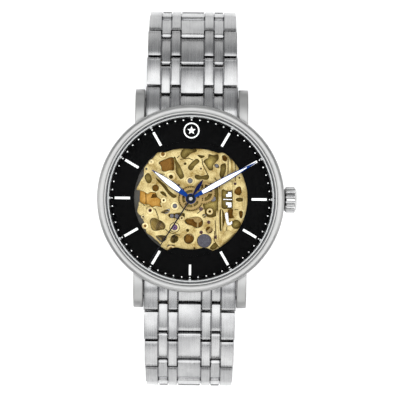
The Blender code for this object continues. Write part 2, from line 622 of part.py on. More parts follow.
def make_train():
    ratchet = gear_outline(45, 0.13, 0, BARREL_CENTRE)
    make_wheel(
        "ratchet_wheel",
        [(ratchet, 2.85, 3.15), (circle(0.5, 12, BARREL_CENTRE), 2.9, 5.3)], (), STEEL, BARREL_CENTRE,
    )
    first_tooth = facing_gap(BARREL_AT, BARREL_TEETH)
    teeth = gear_outline(BARREL_TEETH, BARREL_MODULE, first_tooth, BARREL_CENTRE)
    barrel = prism("barrel", teeth, *BARREL_LEVEL)
    room = box_outline(1.0, 4.8, BARREL_LEVEL[0] + 0.12, BARREL_LEVEL[1] + 1)
    cut(barrel, turned("spring_room", room, 32, BARREL_CENTRE))
    cut(barrel, disc("arbor_hole", 0.62, 4, 6, 12, BARREL_CENTRE))
    finish(put_origin(barrel, (*BARREL_CENTRE, CASE_Z + BARREL_LEVEL[0])), BRASS)
    low, high = BARREL_LEVEL[0] + 0.17, BARREL_LEVEL[1] - 0.05
    spring = spiral("mainspring", BARREL_CENTRE, 1.5, 4.4, 3, 0.14, low, high, 14)
    finish(spring, STEEL)

    third_teeth = facing_tooth(THIRD_AT + 180)
    third_leaves = facing_gap(THIRD_AT, THIRD_PINION)
    make_wheel("center_wheel", [
        (gear_outline(CENTRE_TEETH, CENTRE_MODULE, facing_tooth(THIRD_AT)), *CENTRE_LEVEL),
        (leaves(CENTRE_PINION, BARREL_MODULE, facing_tooth(BARREL_AT)), *BARREL_LEVEL),
        (circle(0.55, 16), BARREL_LEVEL[0] + 0.05, MINUTE_HAND_Z - 0.02),
        (leaves(CANNON_TEETH, CANNON_MODULE, facing_tooth(MINUTE_WHEEL_AT)), *MOTION_LEVEL),
    ], [(0.25, 4, 10)], BRASS)
    make_wheel("third_wheel", [
        (gear_outline(THIRD_TEETH, THIRD_MODULE, third_teeth, THIRD_CENTRE), *THIRD_LEVEL),
        (leaves(THIRD_PINION, CENTRE_MODULE, third_leaves, THIRD_CENTRE), *CENTRE_LEVEL),
        (circle(0.25, 10, THIRD_CENTRE), 3.86, 5.44),
    ], (), BRASS, THIRD_CENTRE)

    fourth_leaves = leaves(FOURTH_PINION, THIRD_MODULE, facing_gap(THIRD_AT + 180, FOURTH_PINION))
    make_wheel("fourth_wheel", [
        (gear_outline(FOURTH_TEETH, FOURTH_MODULE, facing_tooth(ESCAPE_AT)), *FOURTH_LEVEL),
        (fourth_leaves, FOURTH_LEVEL[0] + 0.05, THIRD_LEVEL[1]),
        (circle(0.15, 10), 3.86, SECONDS_HAND_Z - 0.02),
    ], (), BRASS)

    escape = []
    for tooth in range(ESCAPE_TEETH):
        start = 360 * tooth / ESCAPE_TEETH
        for share, reach in ((0.0, 1.7), (0.5, 1.7), (0.75, ESCAPE_RADIUS), (0.88, ESCAPE_RADIUS)):
            x, y = polar(reach, start + share * 360 / ESCAPE_TEETH)
            escape.append((ESCAPE_CENTRE[0] + x, ESCAPE_CENTRE[1] + y))
    first_leaf = facing_gap(ESCAPE_AT, ESCAPE_PINION)
    escape_leaves = leaves(ESCAPE_PINION, FOURTH_MODULE, first_leaf, ESCAPE_CENTRE)
    make_wheel("escape_wheel", [
        (escape, *ESCAPE_LEVEL),
        (escape_leaves, FOURTH_LEVEL[0], ESCAPE_LEVEL[1] - 0.02),
        (circle(0.14, 8, ESCAPE_CENTRE), 3.86, 5.44),
    ], (), STEEL, ESCAPE_CENTRE)

    minute_at = MINUTE_WHEEL_CENTRE
    minute_gap = facing_gap(MINUTE_WHEEL_AT, MINUTE_TEETH)
    pinion_gap = facing_gap(MINUTE_WHEEL_AT, MINUTE_PINION)
    minute_leaves = leaves(MINUTE_PINION, HOUR_MODULE, pinion_gap, minute_at)
    make_wheel("minute_wheel", [
        (gear_outline(MINUTE_TEETH, CANNON_MODULE, minute_gap, minute_at), *MOTION_LEVEL),
        (minute_leaves, MOTION_LEVEL[0] + 0.05, MINUTE_PINION_LEVEL[1]),
        (circle(0.2, 8, minute_at), 5.9, MOTION_LEVEL[1]),
    ], (), BRASS, minute_at)
    hour_teeth = gear_outline(HOUR_TEETH, HOUR_MODULE, facing_tooth(MINUTE_WHEEL_AT))
    make_wheel("hour_wheel", [
        (hour_teeth, *MINUTE_PINION_LEVEL),
        (circle(0.95, 16), MINUTE_PINION_LEVEL[0] + 0.05, HOUR_HAND_Z - 0.02),
    ], [(0.64, 6, 9)], BRASS)


def make_escapement():
    px, py = PALLET_CENTRE
    to_escape = Vector((ESCAPE_CENTRE[0] - px, ESCAPE_CENTRE[1] - py)).normalized()
    side = Vector((-to_escape.y, to_escape.x))
    here = Vector((px, py))
    reach = (Vector(ESCAPE_CENTRE) - here).length

    def at(forward, across):
        point = here + to_escape * forward + side * across
        return (point.x, point.y)

    near = reach - ESCAPE_RADIUS - 0.12
    half = [
        (-1.4, 0.05), (-1.55, 0.28), (-1.3, 0.12), (-0.25, 0.12), (-0.05, 1.45),
        (near + 0.55, 1.72), (near + 0.6, 1.5), (0.15, 1.2), (0.1, 0.2),
    ]
    fork = [at(forward, across) for forward, across in half]
    fork += [at(forward, -across) for forward, across in half[::-1]]
    fork_low, fork_high = ESCAPE_LEVEL
    pallet = joined("pallet_fork", [
        prism("fork", fork, fork_low, fork_high), disc("staff", 0.15, 4.3, 5.44, 8, PALLET_CENTRE),
    ])
    finish(put_origin(pallet, (px, py, CASE_Z + fork_low)), STEEL)

    section = box_outline(BALANCE_RADIUS - 0.45, BALANCE_RADIUS, *BALANCE_LEVEL)
    rim = turned("balance_wheel", section, 28, BALANCE_CENTRE)
    bx, by = BALANCE_CENTRE
    arm_low, arm_high = BALANCE_LEVEL[0] + 0.04, BALANCE_LEVEL[1] - 0.04
    for angle in (20, 110):
        dx, dy = polar(BALANCE_RADIUS - 0.2, angle)
        arm = strip((bx - dx, by - dy), (bx + dx, by + dy), 0.22)
        combine(rim, prism("arm", arm, arm_low, arm_high), "UNION")
    combine(rim, disc("staff", 0.3, BRIDGE_LEVEL[1] + 0.05, 5.44, 10, BALANCE_CENTRE), "UNION")
    finish(put_origin(rim, (bx, by, CASE_Z + BALANCE_LEVEL[0])), BRASS)
    low, high = BALANCE_LEVEL[1] + 0.06, BALANCE_LEVEL[1] + 0.2
    hair = spiral("hairspring", BALANCE_CENTRE, 0.5, 2.3, 3, 0.08, low, high, 12)
    finish(hair, BLUE)


def make_rotor():
    outline = [polar(12.7, 180 + 180 * i / 16) for i in range(17)]
    plate = prism("rotor", outline, 2.25, 2.55)
    rim = outline + [polar(10.1, 360 - 180 * i / 16) for i in range(17)]
    combine(plate, prism("rim", rim, 1.95, 3.1), "UNION")
    combine(plate, disc("hub", 2.4, 2.2, 2.7, 24), "UNION")
    cut(plate, disc("bearing", 1.0, 1, 4, 16))
    for angle in (225, 270, 315):
        cut(plate, disc("lightening", 1.7, 1, 3, 12, polar(6.4, angle)))
    finish(put_origin(plate, (0, 0, CASE_Z + 2.25)), STEEL)


# ---------------------------------------------------------------- hands
def make_hand(name, length, tail, width, hub, bore, height, clock_angle, look, blade_start=0.0):
    """A leaf-shaped hand; its angle is clockwise from 12 o'clock."""
    leaf = [
        (0.18, blade_start), (width / 2, blade_start + (length - blade_start) * 0.38), (0.06, length),
        (-0.06, length), (-width / 2, blade_start + (length - blade_start) * 0.38), (-0.18, blade_start),
    ]
    pieces = [prism("hub", circle(hub, 20), height, height + HAND_THICKNESS + 0.04, 0)]
    pieces.append(prism("leaf", leaf, height + 0.02, height + HAND_THICKNESS, 0))
    if tail:
        half = [(0.14, -0.3), (0.42, -tail * 0.62), (0.05, -tail)]
        back = half + [(-x, y) for x, y in half[::-1]]
        pieces.append(prism("tail", back, height + 0.02, height + HAND_THICKNESS, 0))
    hand = joined(name, pieces)
    if bore:
        cut(hand, disc("bore", bore, height - 1, height + 1, 12, lift=0))
    hand.data.transform(Matrix.Rotation(-math.radians(clock_angle), 4, "Z"))
    hand.location = (0, 0, CASE_Z * MM)
    return finish(hand, look)


def main():
    clear_scene()
    make_mid_case()
    make_bezel()
    make_crystal()
    make_rings()
    make_dial()
    make_crown()
    make_end_links()
    make_bracelet_side("12", 0)
    make_bracelet_side("6", math.pi)
    make_clasp()
    make_plates()
    make_train()
    make_escapement()
    make_rotor()
    make_hand("hour_hand", 10.3, 0, 1.5, 1.15, 0.64, HOUR_HAND_Z, HOUR_HAND_AT, BLUE)
    make_hand("minute_hand", 16.0, 0, 1.4, 0.95, 0.25, MINUTE_HAND_Z, MINUTE_HAND_AT, BLUE)
    make_hand("seconds_hand", 16.2, 4.8, 0.28, 0.6, 0, SECONDS_HAND_Z, SECONDS_HAND_AT, STEEL)


main()
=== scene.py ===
# %% [markdown]
# # A skeleton wristwatch
# The frame holds the watch's working shape: 60 CAD nodes, grouped into bodies that turn and slide.
# This lesson dresses it. Each visible piece is modelled again with the tools of edit mode, in the
# place that the frame gives, and rides on the body that it belongs to.

# %% Load the frame
import json
import math

import bmesh
import bpy
from mathutils import Matrix, Vector


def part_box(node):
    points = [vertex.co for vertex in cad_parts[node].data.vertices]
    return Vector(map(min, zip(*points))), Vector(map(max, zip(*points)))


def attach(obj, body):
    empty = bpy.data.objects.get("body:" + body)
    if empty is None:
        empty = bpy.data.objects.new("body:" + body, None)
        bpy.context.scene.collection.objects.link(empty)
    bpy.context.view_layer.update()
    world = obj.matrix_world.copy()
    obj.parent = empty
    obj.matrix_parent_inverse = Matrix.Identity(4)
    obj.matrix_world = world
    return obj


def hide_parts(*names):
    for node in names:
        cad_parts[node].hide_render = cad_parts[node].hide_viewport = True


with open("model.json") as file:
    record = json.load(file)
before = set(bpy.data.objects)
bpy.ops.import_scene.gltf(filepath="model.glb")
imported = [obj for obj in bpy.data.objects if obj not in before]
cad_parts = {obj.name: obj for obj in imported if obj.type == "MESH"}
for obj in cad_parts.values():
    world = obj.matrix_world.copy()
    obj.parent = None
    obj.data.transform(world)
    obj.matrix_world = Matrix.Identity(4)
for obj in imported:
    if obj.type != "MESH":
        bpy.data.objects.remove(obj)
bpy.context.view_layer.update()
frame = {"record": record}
scene = bpy.context.scene
MM = 0.001

# %% [markdown]
# ## Where things are
# The dial's centre is the watch's own axis. Heights inside the case are counted from the outer face
# of the case back, so one number, `CASE_Z`, ties every level to the frame.

# %% Landmarks from the frame
CASE_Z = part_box("case_back")[0][2] / MM
BEZEL_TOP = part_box("bezel")[1][2] / MM
DIAL_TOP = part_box("dial")[1][2] / MM
PLATE_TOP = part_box("main_plate")[1][2] / MM
joints = {joint["name"]: joint for joint in frame["record"]["behaviour"]["joints"]}
print(f"case back at {CASE_Z:.1f} mm, bezel top at {BEZEL_TOP:.1f} mm, dial at {DIAL_TOP:.1f} mm")


def pivot(joint):
    """A joint's place in millimetres."""
    return Vector(joints[joint]["pos_m"]) / MM


# %% [markdown]
# ## Working in edit mode
# Every piece below starts as a primitive and is shaped in edit mode. A few short helpers keep that
# readable: one opens a piece for editing, one picks vertices by their place, and two draw the two
# kinds of shape that a watchmaker knows: the turned one, and the one sawn from sheet.

# %% Selecting and editing
def clear_selection():
    if bpy.context.object and bpy.context.object.mode != "OBJECT":
        bpy.ops.object.mode_set(mode="OBJECT")
    bpy.ops.object.select_all(action="DESELECT")


def open_piece(piece):
    clear_selection()
    bpy.context.view_layer.objects.active = piece
    piece.select_set(True)
    bpy.ops.object.mode_set(mode="EDIT")
    bpy.ops.mesh.select_mode(type="VERT")


def pick(piece, test):
    """Select the vertices whose place, in millimetres, passes the test."""
    shape = bmesh.from_edit_mesh(piece.data)
    for vertex in shape.verts:
        vertex.select = bool(test(vertex.co / MM))
    shape.select_flush_mode()
    bmesh.update_edit_mesh(piece.data)


def close_piece():
    """Weld doubled points, turn all faces outward and leave edit mode."""
    bpy.ops.mesh.select_all(action="SELECT")
    bpy.ops.mesh.remove_doubles(threshold=1e-6)
    bpy.ops.mesh.normals_make_consistent(inside=False)
    bpy.ops.object.mode_set(mode="OBJECT")


def named(name):
    """Put the new primitive's place into its mesh and give it its name."""
    piece = bpy.context.object
    bpy.ops.object.transform_apply(location=True, rotation=True, scale=True)
    piece.name = piece.data.name = name
    return piece


# %% [markdown]
# A lathe piece is drawn as half of its section, which then goes once round the axis. A sawn piece is
# drawn as its outline and is as thick as the sheet. With a rod and a block beside them, these two
# make almost every part of a watch, as the lathe and the piercing saw do at the bench.

# %% Turned and sawn shapes
def turned(name, profile, segments=96, ring=True):
    """A lathe piece: a circle is extruded and resized along a profile of (radius, height)."""
    clear_selection()
    radius, height = profile[0]
    bpy.ops.mesh.primitive_circle_add(
        vertices=segments, radius=radius * MM, location=(0, 0, height * MM)
    )
    piece = named(name)
    open_piece(piece)
    bpy.ops.mesh.select_all(action="SELECT")
    for next_radius, next_height in profile[1:] + (profile[:1] if ring else []):
        step = {"value": (0, 0, (next_height - height) * MM)}
        bpy.ops.mesh.extrude_edges_move(TRANSFORM_OT_translate=step)
        share = next_radius / radius
        bpy.ops.transform.resize(value=(share, share, 1), center_override=(0, 0, 0))
        radius, height = next_radius, next_height
    if not ring:
        bpy.ops.mesh.select_all(action="SELECT")
        bpy.ops.mesh.fill_holes(sides=0)
    close_piece()
    return piece


def sawn(name, points, low, high):
    """A flat shape: its outline is drawn point by point, filled and given its thickness."""
    clear_selection()
    x, y = points[0]
    bpy.ops.mesh.primitive_plane_add(size=MM, location=(x * MM, y * MM, low * MM))
    piece = named(name)
    open_piece(piece)
    bpy.ops.mesh.select_all(action="SELECT")
    bpy.ops.mesh.merge(type="CENTER")
    for next_x, next_y in points[1:]:
        step = {"value": ((next_x - x) * MM, (next_y - y) * MM, 0)}
        bpy.ops.mesh.extrude_vertices_move(TRANSFORM_OT_translate=step)
        x, y = next_x, next_y
    bpy.ops.mesh.select_all(action="SELECT")
    bpy.ops.mesh.edge_face_add()
    up = {"value": (0, 0, (high - low) * MM)}
    bpy.ops.mesh.extrude_region_move(TRANSFORM_OT_translate=up)
    close_piece()
    return piece


def crosswise(name, profile, left, right, lift=0.0):
    """A bar across the bracelet: a side view of (y, z) points, as wide as from left to right."""
    piece = sawn(name, profile, left, right)
    stood = Matrix(((0, 0, 1, 0), (1, 0, 0, 0), (0, 1, 0, lift * MM), (0, 0, 0, 1)))
    piece.data.transform(stood)
    return piece


def rod(name, radius, low, high, centre=(0, 0), segments=24):
    clear_selection()
    bpy.ops.mesh.primitive_cylinder_add(
        vertices=segments, radius=radius * MM, depth=(high - low) * MM,
        location=(centre[0] * MM, centre[1] * MM, (low + high) / 2 * MM),
    )
    return named(name)


def block(name, low_corner, high_corner):
    clear_selection()
    middle = [(a + b) / 2 * MM for a, b in zip(low_corner, high_corner)]
    bpy.ops.mesh.primitive_cube_add(size=1, location=middle)
    bpy.context.object.scale = [(b - a) * MM for a, b in zip(low_corner, high_corner)]
    return named(name)


# %% [markdown]
# Edges are where metal catches the light, so nearly every piece gets a small bevel at the end.
# Booleans drill and mill. A repeated piece is modelled once, and its copies are moved as meshes.

# %% Finishing a shape
def apply_modifier(piece, kind, **settings):
    clear_selection()
    bpy.context.view_layer.objects.active = piece
    piece.select_set(True)
    modifier = piece.modifiers.new(kind.lower(), kind)
    for setting, value in settings.items():
        setattr(modifier, setting, value)
    bpy.ops.object.modifier_apply(modifier=modifier.name)


def soften(piece, width, segments=2, angle=30):
    """Bevel the edges that are sharper than an angle."""
    apply_modifier(
        piece, "BEVEL", width=width * MM, segments=segments, limit_method="ANGLE",
        angle_limit=math.radians(angle), use_clamp_overlap=True,
    )
    return piece


def mill(piece, *cutters, operation="DIFFERENCE"):
    """Cut other shapes out of a piece, or weld them on, and drop them."""
    for cutter in cutters:
        apply_modifier(piece, "BOOLEAN", object=cutter, operation=operation, solver="EXACT")
        bpy.data.objects.remove(cutter)
    return piece


def weld(piece, *others):
    return mill(piece, *others, operation="UNION")


def copied(piece, name, matrix):
    """A copy with its own mesh, moved by a matrix whose place is in millimetres."""
    twin = piece.copy()
    twin.data = piece.data.copy()
    twin.name = twin.data.name = name
    scene.collection.objects.link(twin)
    place = matrix.copy()
    place.translation = matrix.translation * MM
    twin.data.transform(place)
    return twin


def gathered(name, pieces):
    """Join separate shapes of one finish into one piece."""
    clear_selection()
    for piece in pieces:
        piece.select_set(True)
    bpy.context.view_layer.objects.active = pieces[0]
    if len(pieces) > 1:
        bpy.ops.object.join()
    pieces[0].name = pieces[0].data.name = name
    return pieces[0]


def smooth(piece, angle=35):
    clear_selection()
    bpy.context.view_layer.objects.active = piece
    piece.select_set(True)
    bpy.ops.object.shade_smooth_by_angle(angle=math.radians(angle))
    return piece


def fit(piece, body, finish, replaces=()):
    """The last step of each piece: its finish, its body, and the CAD nodes it stands for."""
    piece.data.materials.clear()
    piece.data.materials.append(finish)
    smooth(piece)
    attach(piece, body)
    if replaces:
        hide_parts(*replaces)
    return piece


def shift(x, y, z=0.0):
    return Matrix.Translation((x, y, z))


def spun(degrees, axis="Z"):
    return Matrix.Rotation(math.radians(degrees), 4, axis)


def polar(distance, degrees):
    """A point at a distance and an angle, anticlockwise from 3 o'clock."""
    return distance * math.cos(math.radians(degrees)), distance * math.sin(math.radians(degrees))


def clock(distance, degrees):
    """The same, clockwise from 12 o'clock, as a dial is read."""
    return polar(distance, 90 - degrees)


def moved(piece, centre):
    piece.data.transform(shift(centre[0] * MM, centre[1] * MM, 0))
    return piece


STEM_HEIGHT = 4.9  # of the stem's axis over the case back


def along_stem(piece, start=0.0):
    """Lay a piece that was made upright on the stem's axis, from a distance outward."""
    piece.data.transform(shift(start * MM, 0, (CASE_Z + STEM_HEIGHT) * MM) @ spun(90, "Y"))
    return piece


# %% [markdown]
# ## Shader maths
# A finish is a small network of nodes. Writing it as Python expressions keeps it short: `Wire` wraps
# a socket, and each operator adds one Math node. `Finish` owns the material and its shader.

# %% Wires and finishes
class Wire:
    def __init__(self, finish, socket):
        self.finish, self.socket = finish, socket

    def maths(self, operation, first, second=None):
        values = {0: first} if second is None else {0: first, 1: second}
        return self.finish.node("ShaderNodeMath", {"operation": operation}, values)

    def __add__(self, other):
        return self.maths("ADD", self, other)

    def __sub__(self, other):
        return self.maths("SUBTRACT", self, other)

    def __rsub__(self, other):
        return self.maths("SUBTRACT", other, self)

    def __mul__(self, other):
        return self.maths("MULTIPLY", self, other)

    def __pow__(self, other):
        return self.maths("POWER", self, other)

    __radd__ = __add__
    __rmul__ = __mul__


class Finish:
    def __init__(self, name, colour, roughness, metallic=1.0, **constants):
        self.material = bpy.data.materials.new(name)
        self.material.use_nodes = True
        self.tree = self.material.node_tree
        self.shader = self.tree.nodes["Principled BSDF"]
        self.shader.inputs["Base Color"].default_value = (*colour, 1)
        self.shader.inputs["Roughness"].default_value = roughness
        self.shader.inputs["Metallic"].default_value = metallic
        for socket, value in constants.items():
            self.shader.inputs[socket.replace("_", " ")].default_value = value

    def node(self, kind, settings=None, inputs=None, output=0):
        made = self.tree.nodes.new(kind)
        for setting, value in (settings or {}).items():
            setattr(made, setting, value)
        for socket, value in (inputs or {}).items():
            self.put(made.inputs[socket], value)
        return Wire(self, made.outputs[output])

    def put(self, socket, value):
        if isinstance(value, Wire):
            self.tree.links.new(value.socket, socket)
        else:
            socket.default_value = value

    def feed(self, **inputs):
        for socket, value in inputs.items():
            self.put(self.shader.inputs[socket.replace("_", " ")], value)
        return self

    def place(self, scale=(1, 1, 1), centre=(0, 0, 0)):
        """Object coordinates about a centre in millimetres, scaled per millimetre."""
        coordinates = self.node("ShaderNodeTexCoord", output=3)
        moved = self.node("ShaderNodeMapping", inputs={
            0: coordinates, 1: [-c * MM for c in centre],
        })
        return self.node("ShaderNodeMapping", inputs={0: moved, 3: [s / MM for s in scale]})

    def noise(self, place, detail=2.0, size=1.0, roughness=0.5):
        return self.node("ShaderNodeTexNoise", inputs={
            "Vector": place, "Scale": size, "Detail": detail, "Roughness": roughness,
        })

    def openness_for_painted_shade(self, reach):
        """One on open ground, less in corners and gaps, where the finishes use it to paint shade into their
        colour; reach is in millimetres.
        """
        return self.node("ShaderNodeAmbientOcclusion", {"samples": 8}, {"Distance": reach * MM}, output=1)

    def between(self, low, high, share):
        return self.node("ShaderNodeMapRange", inputs={0: share, 3: low, 4: high})

    def tint(self, first, second, share):
        """A colour between two colours."""
        return self.node("ShaderNodeMix", {"data_type": "RGBA"}, {
            0: share, 6: (*first, 1), 7: (*second, 1),
        }, output=2)

    def bump(self, height, strength, depth):
        """Depth is in millimetres."""
        relief = self.node("ShaderNodeBump", inputs={
            "Strength": strength, "Distance": depth * MM, "Height": height,
        })
        return self.feed(Normal=relief)


# %% [markdown]
# ## The finishes
# A watch is many finishes of a few metals. Steel is a neutral grey, and its brushing is a noise
# stretched along the bracelet, so that every row has the same long lines. Steel looks darker in its
# gaps, where it mirrors only other steel, and that shade is painted into its colour: a measure of how
# open the ground is draws the colour towards the dark one where it is closed in.

# %% Steel
def brushed_steel():
    finish = Finish("brushed steel", (0.6, 0.6, 0.6), 0.3)
    lines = finish.noise(finish.place((26, 0.12, 0.12)), detail=3)
    clouds = finish.noise(finish.place((0.25, 0.25, 0.25)), detail=2)
    # Where the ground is closed in, the colour is drawn to the dark one: painted shade in the gaps.
    share = (lines * 0.5 + clouds * 0.5) * finish.openness_for_painted_shade(1.0) ** 2.0
    finish.feed(
        Base_Color=finish.tint((0.08, 0.08, 0.085), (0.5, 0.5, 0.495), share),
        Roughness=finish.between(0.2, 0.34, lines),
    )
    finish.bump(lines, 0.1, 0.01)
    return finish.material


def polished_steel():
    finish = Finish("polished steel", (0.64, 0.64, 0.635), 0.16)
    clouds = finish.noise(finish.place((0.6, 0.6, 0.6)), detail=4)
    finish.feed(Roughness=finish.between(0.12, 0.22, clouds))
    # Painted shade: the colour darkens towards the dark one where the ground is closed in.
    share = (clouds * 0.4 + 0.7) * finish.openness_for_painted_shade(0.8) ** 2.5
    finish.feed(Base_Color=finish.tint((0.05, 0.05, 0.055), (0.42, 0.42, 0.415), share))
    return finish.material


def satin_steel():
    """Bead-blasted before its last light polish, so that its gleam is broad."""
    finish = Finish("satin steel", (0.5, 0.5, 0.5), 0.3)
    clouds = finish.noise(finish.place((0.5, 0.5, 0.5)), detail=4)
    finish.feed(Roughness=finish.between(0.36, 0.5, clouds))
    # Painted shade: the colour darkens towards the dark one where the ground is closed in.
    share = (clouds * 0.4 + 0.7) * finish.openness_for_painted_shade(0.8) ** 1.3
    finish.feed(Base_Color=finish.tint((0.1, 0.1, 0.105), (0.30, 0.30, 0.295), share))
    return finish.material


def movement_steel():
    finish = Finish("ground steel", (0.5, 0.5, 0.5), 0.25)
    grain = finish.noise(finish.place((6, 6, 6)), detail=4)
    finish.feed(Base_Color=finish.tint((0.14, 0.14, 0.15), (0.30, 0.30, 0.30), grain))
    finish.feed(Roughness=finish.between(0.18, 0.36, grain))
    return finish.material


BRUSHED, POLISHED = brushed_steel(), polished_steel()
SATIN, MOVEMENT_STEEL = satin_steel(), movement_steel()

# %% [markdown]
# The movement's plates are gilded over a fine grain, and shade is painted into them as brown where the
# ground is closed in. Its wheels are turned, so their grain runs round their own centres: that needs the
# distance from each wheel's axis, taken here from the object's own coordinates.

# %% Gold and brass
def gold(name, light, dark, grain_size=5.0, shade=2.0):
    finish = Finish(name, light, 0.36)
    grain = finish.noise(finish.place((grain_size,) * 3), detail=5, roughness=0.6)
    clouds = finish.noise(finish.place((0.45, 0.45, 0.45)), detail=2)
    # The colour falls to the dark one where the ground is closed in: painted shade, as strong as the shade
    # power asks.
    share = (clouds * 1.8 - 0.4 + (grain - 0.5) * 1.8) * finish.openness_for_painted_shade(1.0) ** shade
    finish.feed(Base_Color=finish.tint(dark, light, share))
    finish.feed(Roughness=finish.between(0.28, 0.5, grain))
    finish.bump(grain, 0.5, 0.03)
    return finish.material


def turned_brass(name, centre, light=(0.27, 0.19, 0.08), dark=(0.10, 0.065, 0.025)):
    """Brass with fine rings round a centre in millimetres."""
    finish = Finish(name, light, 0.3)
    place = finish.place(centre=(*centre, 0))
    flat = finish.node("ShaderNodeVectorMath", {"operation": "MULTIPLY"}, {0: place, 1: (1, 1, 0)})
    distance = finish.node("ShaderNodeVectorMath", {"operation": "LENGTH"}, {0: flat}, output=1)
    rings = finish.node("ShaderNodeTexNoise", {"noise_dimensions": "1D"}, {
        "W": distance, "Scale": 14.0, "Detail": 2.0,
    })
    finish.feed(Base_Color=finish.tint(dark, light, rings * 1.4 - 0.2))
    finish.feed(Roughness=finish.between(0.22, 0.42, rings))
    finish.bump(rings, 0.3, 0.015)
    return finish.material


GOLD = gold("gilded plate", (0.34, 0.25, 0.09), (0.16, 0.10, 0.025))
PALE_GOLD = gold("pale gilding", (0.42, 0.35, 0.18), (0.15, 0.095, 0.025))
BRIGHT_GOLD = gold("bright gilding", (0.56, 0.48, 0.28), (0.26, 0.18, 0.07), 5.0, 1.0)
# A copy of the gilding darkened as painted shade, for parts that lie deep under the plate.
SHADE_PAINTED_GOLD = gold("gilding in shade", (0.16, 0.08, 0.017), (0.04, 0.016, 0.003), 3.0)
ORANGE_GOLD = gold("orange gilding", (0.34, 0.20, 0.055), (0.18, 0.085, 0.015), 3.0)

# %% [markdown]
# The other finishes need no pattern of their own, only a slight unevenness: black lacquer, blued
# steel, ruby, the luminous paint on the hands, rubber, the plastic holder and the pale paper under
# the watch.

# %% Lacquer, blue, ruby, paint, rubber, plastic and paper
def plain(name, colour, roughness, metallic=0.0, grain=4.0, change=0.12, **constants):
    """A colour with a fine irregularity in its shade and in its gloss."""
    finish = Finish(name, colour, roughness, metallic, **constants)
    noise = finish.noise(finish.place((grain,) * 3), detail=4)
    darker = tuple(value * (1 - 2 * change) for value in colour)
    finish.feed(Base_Color=finish.tint(darker, colour, noise))
    finish.feed(Roughness=finish.between(roughness * 0.8, min(1.0, roughness * 1.25), noise))
    return finish.material


LACQUER = plain("black lacquer", (0.0012, 0.0012, 0.0014), 0.35, Specular_IOR_Level=0.02)
BLUED = plain("blued steel", (0.004, 0.022, 0.115), 0.2, 1.0)
RUBY = plain("ruby", (0.05, 0.004, 0.006), 0.2, Coat_Weight=0.3)
LUME = plain("luminous paint", (0.95, 0.96, 0.93), 0.6, grain=9.0, change=0.04)
PRINT = plain("white print", (0.95, 0.95, 0.95), 0.5, grain=9.0, change=0.04)
RUBBER = plain("black rubber", (0.02, 0.02, 0.02), 0.6)
HOLDER = plain("grey plastic", (0.05, 0.042, 0.03), 0.5, grain=1.5, change=0.4)
FLOOR = plain("pale paper", (0.97, 0.97, 0.97), 0.9, grain=0.5, change=0.01)


def clear_crystal():
    """Mineral glass is nearly invisible straight on, and mirrors the room at a low angle."""
    finish = Finish("mineral crystal", (1, 1, 1), 0.03, 0.0)
    edge = finish.node("ShaderNodeLayerWeight", inputs={"Blend": 0.12}, output=1)
    smears = finish.noise(finish.place((0.2, 0.2, 0.2)), detail=3)
    clear = finish.node("ShaderNodeBsdfTransparent", inputs={"Color": (0.985, 0.99, 0.985, 1)})
    gloss = finish.node("ShaderNodeBsdfGlossy", inputs={
        "Color": (1, 1, 1, 1), "Roughness": finish.between(0.01, 0.05, smears),
    })
    both = finish.node("ShaderNodeMixShader", inputs={0: edge * edge * 0.2 - 0.002, 1: clear, 2: gloss})
    finish.tree.links.new(both.socket, finish.tree.nodes["Material Output"].inputs["Surface"])
    finish.tree.nodes.remove(finish.shader)
    return finish.material


CRYSTAL = clear_crystal()
print(len(bpy.data.materials), "finishes")

# %% [markdown]
# ## The studio
# The watch is looked at straight down on its dial, from far away, as a long lens does it. The lens
# follows from the width of the view at the bezel. The camera is turned by a small angle, because a
# watch that is laid down by hand never lies quite straight.

# %% Camera
VIEW_WIDTH = 85.1  # millimetres that the view takes in at the bezel
VIEW_DISTANCE = 450.0
VIEW_CENTRE = (1.98, -0.26)
VIEW_TURN = 0.65  # degrees
SENSOR = 36.0
camera_data = bpy.data.cameras.new("camera")
camera_data.sensor_width = SENSOR
camera_data.lens = SENSOR * VIEW_DISTANCE / VIEW_WIDTH
camera_data.clip_start = 0.01
camera = bpy.data.objects.new("camera", camera_data)
scene.collection.objects.link(camera)
camera.location = (VIEW_CENTRE[0] * MM, VIEW_CENTRE[1] * MM, (BEZEL_TOP + VIEW_DISTANCE) * MM)
camera.rotation_euler = (0, 0, math.radians(VIEW_TURN))
scene.camera = camera
print(f"lens {camera_data.lens:.0f} mm")

# %% [markdown]
# Polished steel shows the room more than itself. A broad soft box above gives the flat tops their
# white, and four weaker ones at the sides draw bright lines along the round edges. The walls of the
# room get darker towards the floor, so that the edges turn grey.

# %% Floor and light
bpy.ops.object.select_all(action="DESELECT")
bpy.ops.mesh.primitive_plane_add(size=6.0, location=(0, 0, 0))
floor = bpy.context.object
floor.name = "floor"
floor.data.materials.append(FLOOR)

CASE_CENTRE = Vector((0, 0, CASE_Z * MM))  # every soft box faces the case


def soft_box(name, place, size, power):
    data = bpy.data.lights.new(name, "AREA")
    data.shape = "RECTANGLE"
    data.size, data.size_y = size
    data.energy = power
    lamp = bpy.data.objects.new(name, data)
    scene.collection.objects.link(lamp)
    lamp.location = place
    lamp.rotation_euler = (CASE_CENTRE - Vector(place)).to_track_quat("-Z", "Y").to_euler()


